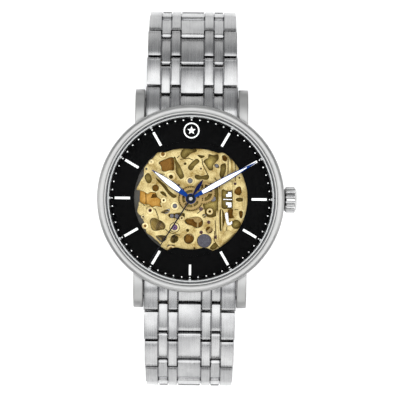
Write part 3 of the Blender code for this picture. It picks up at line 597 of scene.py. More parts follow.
world = bpy.data.worlds.new("studio")
scene.world = world
world.use_nodes = True
sky = world.node_tree.nodes
heading = sky.new("ShaderNodeTexCoord")
split = sky.new("ShaderNodeSeparateXYZ")
walls = sky.new("ShaderNodeMapRange")
walls.interpolation_type = "SMOOTHSTEP"
walls.inputs["From Min"].default_value = 0.3
walls.inputs["To Min"].default_value = 0.08
walls.inputs["To Max"].default_value = 0.85
world.node_tree.links.new(heading.outputs["Generated"], split.inputs[0])
world.node_tree.links.new(split.outputs["Z"], walls.inputs["Value"])
world.node_tree.links.new(walls.outputs[0], sky["Background"].inputs["Strength"])
sky["Background"].inputs["Color"].default_value = (0.95, 0.97, 1.0, 1)
soft_box("top_box", (0.0, 0.0, 0.95), (1.3, 1.15), 11.0)
soft_box("far_box", (0.0, 0.95, 0.45), (1.3, 0.35), 2.0)
soft_box("near_box", (0.0, -0.95, 0.55), (1.3, 0.55), 5.5)
soft_box("left_box", (-0.75, 0.0, 0.45), (0.25, 1.0), 3.0)
soft_box("right_box", (0.75, -0.1, 0.5), (0.25, 1.0), 3.0)
scene.view_settings.view_transform = "Standard"
print("studio built")

# %% [markdown]
# ## The bracelet
# Each row is a comb of seven solid columns on two hinges. Four columns end round the pin nearer the
# clasp and three round the pin nearer the case, so that the rows mesh. The real ones are milled from
# bar and brushed along their length, with polished round ends. One row is made flat, from blocks
# whose ends are rounded by a bevel, and its copies are moved to the hinges that the frame gives.

# %% One row of the bracelet
PITCH = (pivot("link_12_2_hinge") - pivot("link_12_1_hinge")).length
FINGER = 1.05
EDGES = (2.55, 4.65, 6.75)
GAP = 0.1
ROOM = 1.17  # from a pin to the end of a column that doesn't turn round it
DOME = 0.2  # how far the top of a column falls towards its ends
WIDEST, NARROWEST = 9.9, 9.35  # half widths of the bracelet


def column_spans(half):
    inner, middle, outer = EDGES
    down = [(-half, -outer), (-middle, -inner), (inner, middle), (outer, half)]
    up = [(-outer, -middle), (-inner, inner), (middle, outer)]
    return down, up


def finger(name, left, right, start, end, round_start, round_end, crown=0.16):
    """One column: a block along the bracelet, rounded where it turns round a pin."""
    column = block(name, (left, start, -FINGER), (right, end, FINGER))
    open_piece(column)
    bpy.ops.mesh.select_mode(type="EDGE")
    shape = bmesh.from_edit_mesh(column.data)
    for edge in shape.edges:
        middle = (edge.verts[0].co + edge.verts[1].co) / 2 / MM
        across = abs(edge.verts[0].co.x - edge.verts[1].co.x) > 1e-5
        at_start = round_start and middle.y < start + 0.01
        at_end = round_end and middle.y > end - 0.01
        edge.select = across and (at_start or at_end)
    bmesh.update_edit_mesh(column.data)
    bpy.ops.mesh.bevel(offset=FINGER * 0.985 * MM, segments=7, profile=0.5)
    middle, reach = (start + end) / 2, (end - start) / 2
    for share in (-0.66, -0.33, 0.0, 0.33, 0.66):
        bpy.ops.mesh.select_all(action="SELECT")
        bpy.ops.mesh.bisect(plane_co=(0, (middle + share * reach) * MM, 0), plane_no=(0, 1, 0))
    for share in (0.33, 0.66, 1.0):
        pick(column, lambda co: co.z > 0.9 and abs(abs(co.y - middle) / reach - share) < 0.14)
        bpy.ops.transform.translate(value=(0, 0, -DOME * share ** 2 * MM))
    close_piece()
    return soften(column, crown, 2)


def make_row(half):
    """A row in its own frame: the near pin at 0, the far one at one pitch, its top up."""
    down, up = column_spans(half)
    pieces = []
    for left, right in down:
        left += 0 if left == -half else GAP
        right -= 0 if right == half else GAP
        pieces.append(finger("column", left, right, ROOM, PITCH + FINGER, False, True))
    for left, right in up:
        pieces.append(finger("column", left + GAP, right - GAP, -FINGER, PITCH - ROOM, True, False))
    pieces.append(block("core", (-half + 0.15, 1.25, -0.8), (half - 0.15, PITCH - 1.25, 0.72)))
    for place in (0.0, PITCH):
        clear_selection()
        bpy.ops.mesh.primitive_cylinder_add(
            vertices=16, radius=0.42 * MM, depth=(2 * half - 0.3) * MM,
            location=(0, place * MM, 0), rotation=(0, math.pi / 2, 0),
        )
        pieces.append(soften(named("pin"), 0.08, 1))
    return pieces


# %% [markdown]
# The bracelet narrows over its first rows from the lugs to the clasp. A narrower row is the same
# drawing with a smaller half width, and both sides of the watch share it.

# %% The rows in their places
def row_half_width(row):
    """The bracelet narrows over its first five rows."""
    return WIDEST - (WIDEST - NARROWEST) * min(row, 5) / 5


# How far each row leans back from the row at the lugs, in degrees.
tilts = (12, 25, 54, 77, 97, 115, 133, 151, 167)
for row, tilt in enumerate(tilts, 1):
    model = gathered("row", make_row(row_half_width(row)))
    for side, turn in (("12", 0), ("6", 180)):
        name = f"link_{side}_{row}"
        at = pivot(f"{name}_hinge")
        place = shift(*at) @ spun(turn) @ spun(-tilt, "X")
        fit(copied(model, f"bracelet_row_{side}_{row}", place), name, BRUSHED, [name])
    bpy.data.objects.remove(model)
print(2 * len(tilts), "rows")

# %% [markdown]
# The end links fill the space between the lugs. They carry the same seven columns as the rows, and
# their inner end is hollowed to the round of the case.

# %% The end links
def make_end_link():
    half = 9.95
    pieces = []
    down, up = column_spans(half)
    outline = ((15.5, 2.5), (15.5, 6.6), (19.0, 6.35), (20.6, 5.65), (22.0, 4.9))
    for spans, reach in ((down, HINGE_Y_IN + FINGER), (up, HINGE_Y_IN - ROOM)):
        for left, right in spans:
            left += 0.02 if left == -half else GAP
            right -= 0.02 if right == half else GAP
            front = [(HINGE_Y_IN + FINGER * math.sin(a), HINGE_Z_IN + FINGER * math.cos(a))
                     for a in (math.radians(18 * i) for i in range(11))]
            if reach < HINGE_Y_IN:
                front = [(22.03, 4.75), (22.03, 2.5)]
            points = list(outline[:-1]) + ([(22.0, 4.9)] if reach < HINGE_Y_IN else []) + front
            pieces.append(soften(crosswise("column", points, left, right, CASE_Z), 0.14, 2))
    body = block("core", (-half + 0.2, 15.4, CASE_Z + 2.7), (half - 0.2, 21.6, CASE_Z + 4.6))
    pieces.append(body)
    for piece in pieces:
        mill(piece, rod("round of the case", 19.75, CASE_Z - 1, CASE_Z + 9, segments=128))
    return pieces


HINGE_Y_IN = pivot("link_12_1_hinge").y
HINGE_Z_IN = pivot("link_12_1_hinge").z - CASE_Z
end_link = gathered("end_link", make_end_link())
for side, turn in (("12", 0), ("6", 180)):
    fit(copied(end_link, f"end_link_fine_{side}", spun(turn)), "case", BRUSHED,
        [f"end_link_{side}"])
bpy.data.objects.remove(end_link)
print("end links")

# %% [markdown]
# ## The case
# The middle of the case is turned from bar, and its four lugs are milled with it. Under the bezel
# runs a coin edge: a knurling wheel presses close, fine notches into the rim, as on a coin.

# %% The middle of the case
LUG_INNER, LUG_OUTER = 10.06, 12.14


def lug(end, left, right):
    side = [
        (14.2, 2.0), (20.2, 0.78), (22.5, 0.72), (23.35, 1.45), (23.56, 2.6), (23.46, 4.1),
        (22.9, 5.15), (21.9, 6.0), (20.4, 6.78), (18.6, 7.3), (16.8, 7.6), (14.2, 7.2),
    ]
    shape = crosswise("lug", [(end * y, z) for y, z in side], left, right, CASE_Z)
    return soften(shape, 0.22, 3)


def make_middle_case():
    z = CASE_Z
    case = turned("middle_case", [
        (16.0, z + 1.05), (18.2, z + 1.05), (19.0, z + 1.6), (19.5, z + 2.3), (19.6, z + 3.0),
        (19.6, z + 6.9), (19.35, z + 7.05), (19.35, z + 7.2), (19.6, z + 7.25), (19.6, z + 8.0),
        (17.95, z + 8.0), (17.95, z + 7.05), (15.0, z + 7.05), (15.0, z + 1.75), (16.0, z + 1.75),
    ], 192)
    for end in (1, -1):
        weld(case, lug(end, LUG_INNER, LUG_OUTER), lug(end, -LUG_OUTER, -LUG_INNER))
    bore = rod("stem hole", 1.15, 14.0, 20.5, segments=32)
    return mill(case, along_stem(bore))


fit(make_middle_case(), "case", SATIN, ["mid_case"])

# %% [markdown]
# On the real case a knurling wheel is pressed into the turning rim and leaves its teeth there. Here
# the rim is a cylinder with four side points to a tooth, two of which are moved outward. That needs
# no cutter, and the 120 teeth come out exactly even.

# %% The coin edge
def make_coin_edge():
    """A ring with fine teeth, drawn by moving every other pair of its side vertices outward."""
    z = CASE_Z
    root, tip, teeth = 19.66, 20.0, 120
    ring = rod("coin_edge", root, z + 7.3, z + 7.98, segments=4 * teeth)
    open_piece(ring)
    pick(ring, lambda co: math.hypot(co.x, co.y) > 19 and int(
        math.degrees(math.atan2(co.y, co.x)) % 360 / (90 / teeth) + 0.5) % 4 < 2)
    bpy.ops.transform.resize(value=(tip / root, tip / root, 1), center_override=(0, 0, 0))
    close_piece()
    return mill(ring, rod("inside", 19.45, z + 7, z + 9, segments=128))


fit(make_coin_edge(), "case", POLISHED)
print("case and coin edge")

# %% [markdown]
# The bezel is a satin ring whose top is one round arc, with a small chamfer towards the crystal. The
# crystal is a shallow dome in a ring of clear nylon. Below it a silver ring, the flange, rises from
# the dial to the bezel and carries twelve small studs over the hours.

# %% Bezel, crystal, gasket and flange
def arc(centre, radius, start, stop, steps):
    """Points of an arc in the section of a turned piece."""
    points = []
    for i in range(steps + 1):
        angle = math.radians(start + (stop - start) * i / steps)
        points.append((centre[0] + radius * math.cos(angle), centre[1] + radius * math.sin(angle)))
    return points


z = CASE_Z
bezel_section = [(17.97, z + 8.06), (19.7, z + 8.06), (19.98, z + 8.3)]
bezel_section += arc((19.1, z + 9.28), 0.9, -8, 88, 12)
bezel_section += [(18.62, z + 10.1), (18.48, z + 9.98), (18.48, z + 9.47), (17.97, z + 9.47)]
fit(turned("bezel_fine", bezel_section, 192), "case", SATIN, ["bezel"])

dome = [(0.02, z + 11.0), (4.5, z + 10.96), (9.0, z + 10.86), (13.5, z + 10.67), (17.3, z + 10.43)]
dome += [(17.9, z + 10.36), (18.1, z + 10.2), (18.1, z + 9.54), (0.02, z + 9.54)]
fit(turned("crystal_fine", dome[::-1], 128, ring=False), "case", CRYSTAL, ["crystal"])
CLEAR_NYLON = plain("clear nylon", (0.4, 0.4, 0.39), 0.4)
gasket = [(18.17, z + 9.52), (18.44, z + 9.52), (18.44, z + 10.08), (18.17, z + 10.08)]
fit(soften(turned("gasket_fine", gasket, 128), 0.04, 1), "case", CLEAR_NYLON, ["crystal_gasket"])

flange_section = [(17.45, z + 9.33), (17.24, z + 7.56), (17.86, z + 7.56), (17.86, z + 9.33)]
flange = soften(turned("flange", flange_section, 192), 0.05, 1)
studs = []
for hour in range(12):
    stud = block("stud", (-0.3, 17.12, z + 7.6), (0.3, 17.6, z + 9.34))
    studs.append(copied(soften(stud, 0.08, 2), "stud", spun(-30 * hour)))
    bpy.data.objects.remove(stud)
flange = gathered("flange_fine", [flange] + studs)
SHADED_STEEL = plain("steel in the shade of the bezel", (0.26, 0.26, 0.265), 0.35, 1.0)
fit(flange, "case", SHADED_STEEL, ["flange_ring"])
print("bezel, crystal, gasket, flange")

# %% [markdown]
# The crown is a small fluted drum on the winding stem, chamfered at both ends so that it doesn't
# catch. Its flutes are rounded grooves, milled one after another with a dividing head.

# %% The crown
def make_crown():
    radius, flutes = 2.75, 16
    drum = turned("crown_drum", [
        (1.2, 0.0), (2.15, 0.0), (2.35, 0.08), (2.72, 0.42), (2.75, 0.5), (2.75, 2.15), (2.7, 2.25),
        (2.2, 2.65), (2.0, 2.72), (0.9, 2.74), (0.02, 2.74), (0.02, 1.3), (1.2, 1.3),
    ], 96)
    for flute in range(flutes):
        groove = rod("flute", 0.36, 0.3, 2.4, polar(radius + 0.1, 360 / flutes * flute + 11), 14)
        mill(drum, groove)
    return soften(along_stem(drum, 20.02), 0.03, 1, 40)


fit(make_crown(), "crown", POLISHED, ["crown"])
tube = turned("tube_fine", [(0.6, 18.0), (1.1, 18.0), (1.1, 21.0), (0.6, 21.0)], 32)
fit(soften(along_stem(tube), 0.05, 1), "case", POLISHED, ["crown_tube"])
print("crown and tube")

# %% [markdown]
# ## The dial
# A black lacquered disc, cut open in the middle. At 12 and at 6 a segment closes the opening a
# little, and a second, finer step runs along it. The bars at the hours are faceted and set on the
# dial; the dots of the minutes are printed.

# %% The dial
DIAL_Z = DIAL_TOP - 0.4


def window_outline(reach, closed_12, closed_6):
    """The opening, read round the dial: a circle with a flatter arch at 12 and at 6."""
    points = []
    for i in range(180):
        angle = 2 * i
        from_12 = abs((angle - 90 + 180) % 360 - 180)
        from_6 = 180 - from_12
        here = reach
        if from_12 < 35:
            here = closed_12 + 0.025 * from_12 + 0.7 * max(0.0, (from_12 - 28) / 7) ** 2
        if from_6 < 23:
            here = closed_6 + 1.1 * max(0.0, (from_6 - 14) / 9) ** 2
        points.append(polar(here, angle))
    return points


dial = rod("dial_fine", 17.9, DIAL_Z + 0.02, DIAL_TOP, segments=180)
mill(dial, sawn("window", window_outline(12.15, 10.6, 10.85), DIAL_Z - 1, DIAL_TOP + 1))
fit(soften(dial, 0.05, 2), "case", LACQUER, ["dial"])


def arc_step(name, inner, outer, half_angle, middle):
    """A thin raised strip along an arc of the dial."""
    sweep = [middle - half_angle + half_angle * i / 12 for i in range(25)]
    points = [polar(inner, a) for a in sweep] + [polar(outer, a) for a in sweep[::-1]]
    return soften(sawn(name, points, DIAL_TOP - 0.02, DIAL_TOP + 0.1), 0.03, 1)


steps = [arc_step("step", 12.35, 12.6, 27, 90), arc_step("step", 12.3, 12.5, 26, 270)]
fit(gathered("dial_steps", steps), "case", LACQUER)

# %% [markdown]
# The hour bars are faceted blocks of metal that are fixed to the dial by feet through its face. Here
# the top of a block is made a little smaller, which slants its sides, and the bar is copied round the
# dial. At 12 a five-pointed star in a ring takes the place of a bar.

# %% Hour bars, minute dots and the round emblem
def hour_bar(inner, outer, width=0.55):
    """A bar with a roof: a block whose top is narrowed."""
    bar = block("hour_bar", (-width / 2, inner, DIAL_TOP), (width / 2, outer, DIAL_TOP + 0.22))
    open_piece(bar)
    pick(bar, lambda co: co.z > DIAL_TOP + 0.2)
    centre = (0, (inner + outer) / 2 * MM, 0)
    bpy.ops.transform.resize(value=(0.8, 0.97, 1), center_override=centre)
    close_piece()
    return bar


bars = []
for hour in range(1, 12):
    model = hour_bar(14.1, 16.4, 0.5) if hour == 6 else hour_bar(13.0, 16.3)
    bars.append(copied(model, "bar", spun(-30 * hour)))
    bpy.data.objects.remove(model)
fit(gathered("hour_bars", bars), "case", PRINT)

dot = rod("minute_dot", 0.14, DIAL_TOP - 0.01, DIAL_TOP + 0.03, segments=10)
dots = [copied(dot, "dot", shift(*clock(16.88, 6 * i), 0)) for i in range(60)]
bpy.data.objects.remove(dot)
fit(gathered("minute_dots", dots), "case", PRINT)

ring = turned("emblem", [(1.42, DIAL_TOP - 0.01), (1.7, DIAL_TOP - 0.01), (1.7, DIAL_TOP + 0.16),
                         (1.42, DIAL_TOP + 0.16)], 64)
star = []
for i in range(10):
    star.append(polar(0.95 if i % 2 == 0 else 0.4, 90 + 36 * i))
emblem = gathered("emblem", [ring, sawn("star", star, DIAL_TOP - 0.01, DIAL_TOP + 0.16)])
emblem.data.transform(shift(0, 14.6 * MM, 0))
fit(soften(emblem, 0.03, 1), "case", PRINT)
print("dial, bars, dots, emblem")

# %% [markdown]
# ## The hands
# The hour and the minute hand are slim leaves with a window of luminous paint, framed in blued
# steel. The seconds hand is a needle of dark steel with a blued leaf as its tail. Each is sawn flat
# from sheet on 12 o'clock, then turned to its time.

# %% The hands
def leaf_outline(length, width, start, root=0.19, tip=0.05, fullest=0.4, steps=10):
    """A leaf from its root to its tip, fullest a little before the middle."""
    right = []
    for i in range(steps + 1):
        share = i / steps
        if share < fullest:
            half = root + (width / 2 - root) * math.sin(math.pi / 2 * share / fullest)
        else:
            half = tip + (width / 2 - tip) * math.cos(math.pi / 2 * (share - fullest) / (1 - fullest))
        right.append((half, start + (length - start) * share))
    return right + [(-x, y) for x, y in right[::-1]]


def make_hand(name, length, width, hub, bore, height, paint_from, paint_to):
    z = CASE_Z + height
    leaf = sawn(name, leaf_outline(length, width, 0.2), z + 0.02, z + 0.18)
    weld(leaf, rod("hub", hub, z, z + 0.22, segments=48))
    mill(leaf, rod("bore", bore, z - 1, z + 1, segments=32))
    window = leaf_outline(paint_to, width - 0.3, paint_from, 0.34, 0.05, 0.3)
    mill(leaf, sawn("window", window, z + 0.13, z + 1))
    paint = sawn(name + "_paint", window, z + 0.1, z + 0.2)
    return soften(leaf, 0.025, 1), paint


# Angle from 12 o'clock, body, height over the case back, then length, width and the radii of hub and
# bore, and the stretch of the leaf that is painted.
HANDS = {
    "hour": (305.9, "hours", 7.95, (10.3, 1.35, 1.1, 0.64), (2.95, 9.5)),
    "minute": (60.3, "minutes", 8.4, (16.0, 1.25, 0.9, 0.25), (2.85, 13.7)),
}
for name, (turn, body, height, (length, width, hub, bore), (start, stop)) in HANDS.items():
    leaf, paint = make_hand(f"{name}_hand_fine", length, width, hub, bore, height, start, stop)
    for piece in (leaf, paint):
        piece.data.transform(spun(-turn))
    fit(leaf, body, BLUED, [f"{name}_hand"])
    fit(paint, body, LUME)

SECONDS_ANGLE = 212.4
z = CASE_Z + 8.85
needle = [(0.17, 0.3), (0.14, 8.0), (0.06, 16.2), (-0.06, 16.2), (-0.14, 8.0), (-0.17, 0.3)]
tail = [(0.12, -0.3), (0.2, -1.4), (0.43, -2.9), (0.3, -3.9), (0.05, -4.8)]
tail += [(-x, y) for x, y in tail[::-1]]
seconds = [soften(sawn("needle", needle, z + 0.02, z + 0.16), 0.02, 1)]
hub_section = [(0.42, z - 0.02), (0.98, z - 0.02), (0.98, z + 0.2), (0.42, z + 0.2)]
hub = soften(turned("seconds_hub", hub_section, 32), 0.04)
cap = soften(rod("seconds_cap", 0.41, z - 0.02, z + 0.24, segments=24), 0.05)
counter = soften(sawn("seconds_tail", tail, z + 0.02, z + 0.18), 0.02, 1)
for piece in [cap, counter, hub] + seconds:
    piece.data.transform(spun(-SECONDS_ANGLE))
DARK_STEEL = plain("dark steel", (0.015, 0.015, 0.018), 0.25, 1.0)
DARK_BLUE = plain("dark blued steel", (0.003, 0.005, 0.028), 0.2, 1.0)
fit(gathered("seconds_needle", seconds), "seconds", DARK_STEEL, ["seconds_hand"])
BLACKENED = plain("blackened steel", (0.008, 0.009, 0.012), 0.3, 1.0)
fit(counter, "seconds", DARK_BLUE)
fit(hub, "seconds", BLACKENED)
fit(cap, "seconds", MOVEMENT_STEEL)
print("hands")

# %% [markdown]
# ## The movement
# A skeleton movement has its plates cut away wherever they carry nothing, so that the train shows.
# The main plate is two sheets here: a pale gilded one on top, whose edges are chamfered by hand on
# the real one, and a darker one below it, that floors the shallow openings; its darker gilding is
# painted shade, near black along the walls. Each opening is a smooth curve through a few points.

# %% Curves and openings
def curve(points, steps=4):
    """A smooth closed outline that passes through all of the points."""
    smooth_points = []
    count = len(points)
    for i in range(count):
        before, here, there, after = (points[(i + k) % count] for k in (-1, 0, 1, 2))
        for step in range(steps):
            t = step / steps
            smooth_points.append(tuple(
                0.5 * (2 * b + (c - a) * t + (2 * a - 5 * b + 4 * c - d) * t ** 2
                       + (3 * b - a - 3 * c + d) * t ** 3)
                for a, b, c, d in zip(before, here, there, after)
            ))
    return smooth_points


def oval(centre, width, height, turn=0, steps=24):
    """An ellipse, turned anticlockwise by some degrees."""
    c, s = math.cos(math.radians(turn)), math.sin(math.radians(turn))
    points = []
    for i in range(steps):
        x, y = polar(1, 360 * i / steps)
        x, y = x * width / 2, y * height / 2
        points.append((centre[0] + x * c - y * s, centre[1] + x * s + y * c))
    return points


# Openings that go through both sheets, so that wheels and bridges show.
DEEP_OPENINGS = (
    curve([(-7.0, 7.7), (-5.7, 8.4), (-4.3, 8.9), (-3.7, 8.6), (-3.6, 7.2), (-3.7, 6.1), (-4.7, 6.0),
           (-5.7, 5.7), (-6.3, 6.0), (-6.5, 6.9)]),
    curve([(-12.2, 1.6), (-11.2, 1.75), (-10.0, 1.4), (-9.3, 0.95), (-8.7, 1.35), (-7.6, 1.2), (-7.2, 0.4),
           (-6.3, -0.4), (-6.5, -1.2), (-6.2, -1.9), (-7.5, -1.7), (-8.3, -2.0), (-9.0, -1.4),
           (-10.2, -1.3), (-11.2, -0.7), (-12.2, -0.6), (-12.4, 0.5)]),
    curve([(-8.7, -4.8), (-8.0, -4.2), (-7.2, -4.4), (-6.0, -5.0), (-5.4, -5.7), (-5.6, -6.6),
           (-6.5, -6.8), (-7.5, -7.0), (-8.3, -6.6)]),
    curve([(-1.3, -4.8), (-0.7, -4.2), (0.3, -4.0), (1.3, -3.8), (2.3, -4.2), (2.7, -5.1),
           (2.3, -6.0), (1.2, -6.3), (0.2, -5.8), (-0.8, -5.5)]),
    curve([(-1.4, -8.3), (-0.7, -7.6), (0.3, -7.6), (0.8, -8.3), (0.6, -9.2), (-0.2, -9.7),
           (-1.1, -9.4)]),
    curve([(-4.3, -9.2), (-4.1, -8.1), (-3.3, -7.8), (-2.6, -8.3), (-2.7, -9.1), (-3.5, -9.6)]),
    curve([(-7.4, -8.1), (-6.2, -7.9), (-5.1, -8.1), (-5.4, -9.1), (-6.2, -9.4), (-6.9, -8.9)]),
    curve([(-6.4, -3.0), (-5.3, -2.4), (-4.5, -2.2), (-4.6, -2.9), (-5.3, -3.3)]),
    curve([(8.0, -2.4), (9.1, -2.1), (9.0, -3.2), (9.3, -4.0), (8.3, -4.1), (8.1, -3.2)]),
    curve([(9.3, 1.5), (9.8, 2.5), (10.6, 2.7), (10.9, 1.7), (10.6, 0.95), (9.9, 0.9)]),
    curve([(6.6, 9.2), (7.2, 9.4), (7.8, 8.8), (7.5, 8.1), (6.8, 8.3)]),
    curve([(10.4, -2.6), (11.2, -2.7), (11.1, -3.9), (10.6, -4.0)]),
    oval((4.0, -6.7), 1.5, 1.5),
    oval((-7.6, 2.2), 1.5, 1.5),
)
# Openings of the upper sheet only.
SHALLOW_OPENINGS = (
    curve([(-3.5, 9.0), (-3.0, 8.0), (-2.3, 6.9), (-1.5, 5.0), (-1.7, 4.4), (-2.3, 4.2), (-2.8, 4.9),
           (-3.3, 5.7), (-3.4, 7.2), (-3.8, 8.6)]),
    curve([(-2.3, 9.9), (-2.2, 9.0), (-1.5, 8.6), (-0.8, 9.0), (0.0, 9.7), (1.2, 10.2), (0.6, 11.0),
           (-1.3, 11.0)]),
    curve([(1.2, 8.6), (1.8, 8.0), (0.8, 7.0), (0.3, 6.2), (-0.3, 6.1), (-0.7, 6.7), (-0.2, 7.5),
           (0.5, 8.2)]),
    curve([(3.8, 9.6), (4.7, 9.4), (5.7, 9.6), (5.9, 8.7), (5.3, 7.85), (4.75, 7.2), (4.7, 6.3),
           (4.0, 6.1), (3.4, 6.7), (3.0, 7.4), (2.6, 8.0), (3.0, 8.5), (3.6, 8.8)]),
    curve([(1.3, 9.4), (2.9, 9.2), (2.3, 8.7), (1.9, 8.8)]),
    curve([(6.3, 7.2), (6.8, 7.6), (7.4, 7.6), (7.5, 6.3), (7.0, 4.8), (6.4, 4.5), (6.1, 5.3),
           (6.3, 6.3)]),
    curve([(0.8, 5.0), (1.4, 5.2), (2.2, 4.9), (3.0, 5.1), (3.7, 5.2), (3.9, 4.6), (3.4, 4.1),
           (2.4, 4.2), (1.5, 4.1), (0.9, 4.4)]),
    curve([(-7.6, 4.5), (-6.5, 3.7), (-5.5, 2.9), (-4.7, 1.8), (-3.7, 1.0), (-3.0, 0.5), (-3.7, 0.1),
           (-4.7, 0.8), (-5.5, 1.8), (-6.3, 2.8), (-7.2, 3.7)]),
    curve([(-10.0, 4.7), (-9.3, 5.4), (-8.7, 5.0), (-8.4, 4.0), (-8.7, 3.3), (-9.5, 3.4)]),
    curve([(-6.6, 1.4), (-5.9, 1.5), (-5.3, 0.9), (-5.2, 0.3), (-5.8, 0.6), (-6.3, 0.9)]),
    curve([(-4.7, -3.4), (-3.5, -3.2), (-2.3, -3.0), (-1.3, -3.2), (-1.4, -4.2), (-2.2, -4.5),
           (-3.3, -4.3), (-4.5, -4.1)]),
    curve([(6.2, -2.6), (6.9, -2.4), (7.4, -4.0), (7.2, -5.3), (6.8, -6.6), (6.3, -6.5)]),
    [(6.04, 4.1), (6.22, 4.1), (6.25, 2.5), (6.06, 2.5)],
    [(9.35, 8.0), (9.52, 7.9), (9.62, 3.9), (9.45, 3.8)],
    [(5.2, -4.6), (5.36, -4.6), (5.55, -8.0), (5.38, -8.0)],
    [(7.72, -5.9), (7.88, -5.9), (7.78, -8.2), (7.6, -8.2)],
    [(8.72, 3.6), (8.88, 3.6), (8.9, 2.2), (8.74, 2.2)],
    [(-5.0, -10.4), (-4.85, -9.9), (-3.2, -9.95), (-3.3, -10.1)],
    curve([(4.9, -9.6), (5.4, -9.4), (5.9, -10.2), (5.1, -10.9), (4.2, -10.6)]),
    oval((9.8, -5.4), 2.1, 2.0),
    oval((10.5, -0.1), 1.7, 0.9),
    oval((3.0, -9.0), 3.2, 3.0),
    oval((-10.2, -4.0), 0.9, 0.9),
    oval((5.5, 7.1), 1.2, 0.8, -35),
    curve([(2.2, 2.9), (3.6, 3.4), (5.3, 3.2), (5.9, 2.0), (5.9, -1.5), (5.8, -3.2), (5.2, -3.8),
           (4.2, -4.0), (3.2, -3.6), (3.0, -2.4), (2.6, -1.4), (2.5, 0.5)]),
    oval((-3.4, -6.2), 2.2, 2.2),
    oval((0.0, 0.0), 5.4, 5.4, 0, 64),
    curve([(6.6, 1.9), (7.6, 2.1), (9.0, 2.0), (9.1, 0.2), (9.0, -1.9), (7.8, -2.1), (6.7, -1.9),
           (6.5, 0.0)]),
)
# Small round holes: centre and diameter.
HOLES = (
    ((-1.3, 7.5), 0.6), ((-4.3, 4.65), 0.85), ((2.1, 6.5), 1.0), ((5.6, -8.2), 0.9), ((7.3, -8.2), 0.7),
    ((9.5, 3.3), 0.6), ((-0.6, -6.8), 0.7), ((-8.7, -2.6), 1.3), ((-9.75, -5.95), 1.2),
    ((2.3, -7.2), 0.8), ((3.9, -5.0), 0.75), ((2.2, -2.2), 0.85), ((8.6, -9.4), 0.8), ((-6.1, 9.5), 0.8),
    ((-8.6, 7.8), 0.7), ((-4.15, -10.85), 0.8), ((-3.4, -1.6), 1.3), ((-5.8, -0.4), 0.9),
    ((-1.9, -4.2), 0.9),
    ((-0.2, 3.85), 1.5), ((1.3, 7.9), 0.35), ((-2.6, 2.9), 0.5), ((-6.9, -10.1), 0.5), ((0.9, -10.6), 0.45),
    ((7.0, 3.2), 0.5), ((10.4, 4.6), 0.45), ((-9.6, 6.3), 0.5),
)

# %% [markdown]
# The left side of the plate is scalloped, so that the grey ring of the movement shows along the
# opening of the dial.

# %% The main plate
SHEET = CASE_Z + 5.82


def plate_outline():
    """A circle whose left side waves a little inside it."""
    points = []
    for i in range(180):
        angle = 2 * i
        reach = 12.9
        if 125 < angle < 250:
            share = math.sin(math.pi * (angle - 125) / 125) ** 0.4
            wave = 0.35 * math.sin(math.radians((angle - 125) * 14.4))
            ripple = 0.12 * math.sin(math.radians(angle * 31))
            reach -= share * (1.55 + (wave + ripple))
        points.append(polar(reach, angle))
    return points


upper = sawn("upper_sheet", plate_outline(), SHEET, PLATE_TOP)
lower = rod("lower_sheet", 12.95, CASE_Z + 5.5, CASE_Z + 5.8, segments=128)
for number, outline in enumerate(DEEP_OPENINGS):
    mill(upper, sawn("opening", outline, SHEET - 1, PLATE_TOP + 1))
    middle_x = sum(x for x, y in outline) / len(outline)
    middle_y = sum(y for x, y in outline) / len(outline)
    inset = [(middle_x + (x - middle_x) * 0.93, middle_y + (y - middle_y) * 0.93) for x, y in outline]
    mill(lower, sawn("opening", inset, CASE_Z + 5, CASE_Z + 6.5))
for outline in SHALLOW_OPENINGS:
    mill(upper, sawn("opening", outline, SHEET - 1, PLATE_TOP + 1))
for centre, width in HOLES:
    mill(upper, rod("hole", width / 2, SHEET - 1, PLATE_TOP + 1, centre, 20))
for sheet in (upper, lower):
    mill(sheet, rod("centre", 1.1, CASE_Z + 5, PLATE_TOP + 1, segments=32))
    mill(sheet, rod("arbor", 0.3, CASE_Z + 5, PLATE_TOP + 1, polar(3.1, 25), 16))
SEAMS = (
    [(-9.6, -2.1), (-7.6, -2.3), (-7.0, -3.8), (-6.9, -4.4)], [(-5.4, -6.6), (-4.6, -7.3), (-2.2, -7.9)],
    [(-2.4, 8.4), (-0.6, 8.7), (0.4, 8.3)], [(2.3, 8.6), (2.5, 7.3), (3.6, 5.2)],
    [(5.1, 4.5), (6.0, 3.4), (6.2, 2.2)], [(-9.8, -1.6), (-10.3, -1.4)],
    [(5.2, -6.9), (5.1, -8.9), (6.6, -11.0)], [(-8.2, 6.0), (-7.3, 5.2), (-5.6, 5.2)],
    [(1.4, -3.2), (3.0, -1.9), (3.3, -1.2)], [(-3.1, 8.7), (-2.5, 9.2)], [(7.9, 8.6), (7.9, 4.2)],
    [(9.4, -2.2), (10.3, -2.3)],
)
for seam in SEAMS:
    for (x0, y0), (x1, y1) in zip(seam, seam[1:]):
        along = math.atan2(y1 - y0, x1 - x0)
        x, y = -math.sin(along) * 0.09, math.cos(along) * 0.09
        corners = [(x0 + x, y0 + y), (x0 - x, y0 - y), (x1 - x, y1 - y), (x1 + x, y1 + y)]
        mill(upper, sawn("seam", corners, SHEET - 1, PLATE_TOP + 1))
posts = [rod("post", 0.7, CASE_Z + 3.86, CASE_Z + 5.52, polar(12.1, a), 16) for a in (35, 155, 250, 330)]
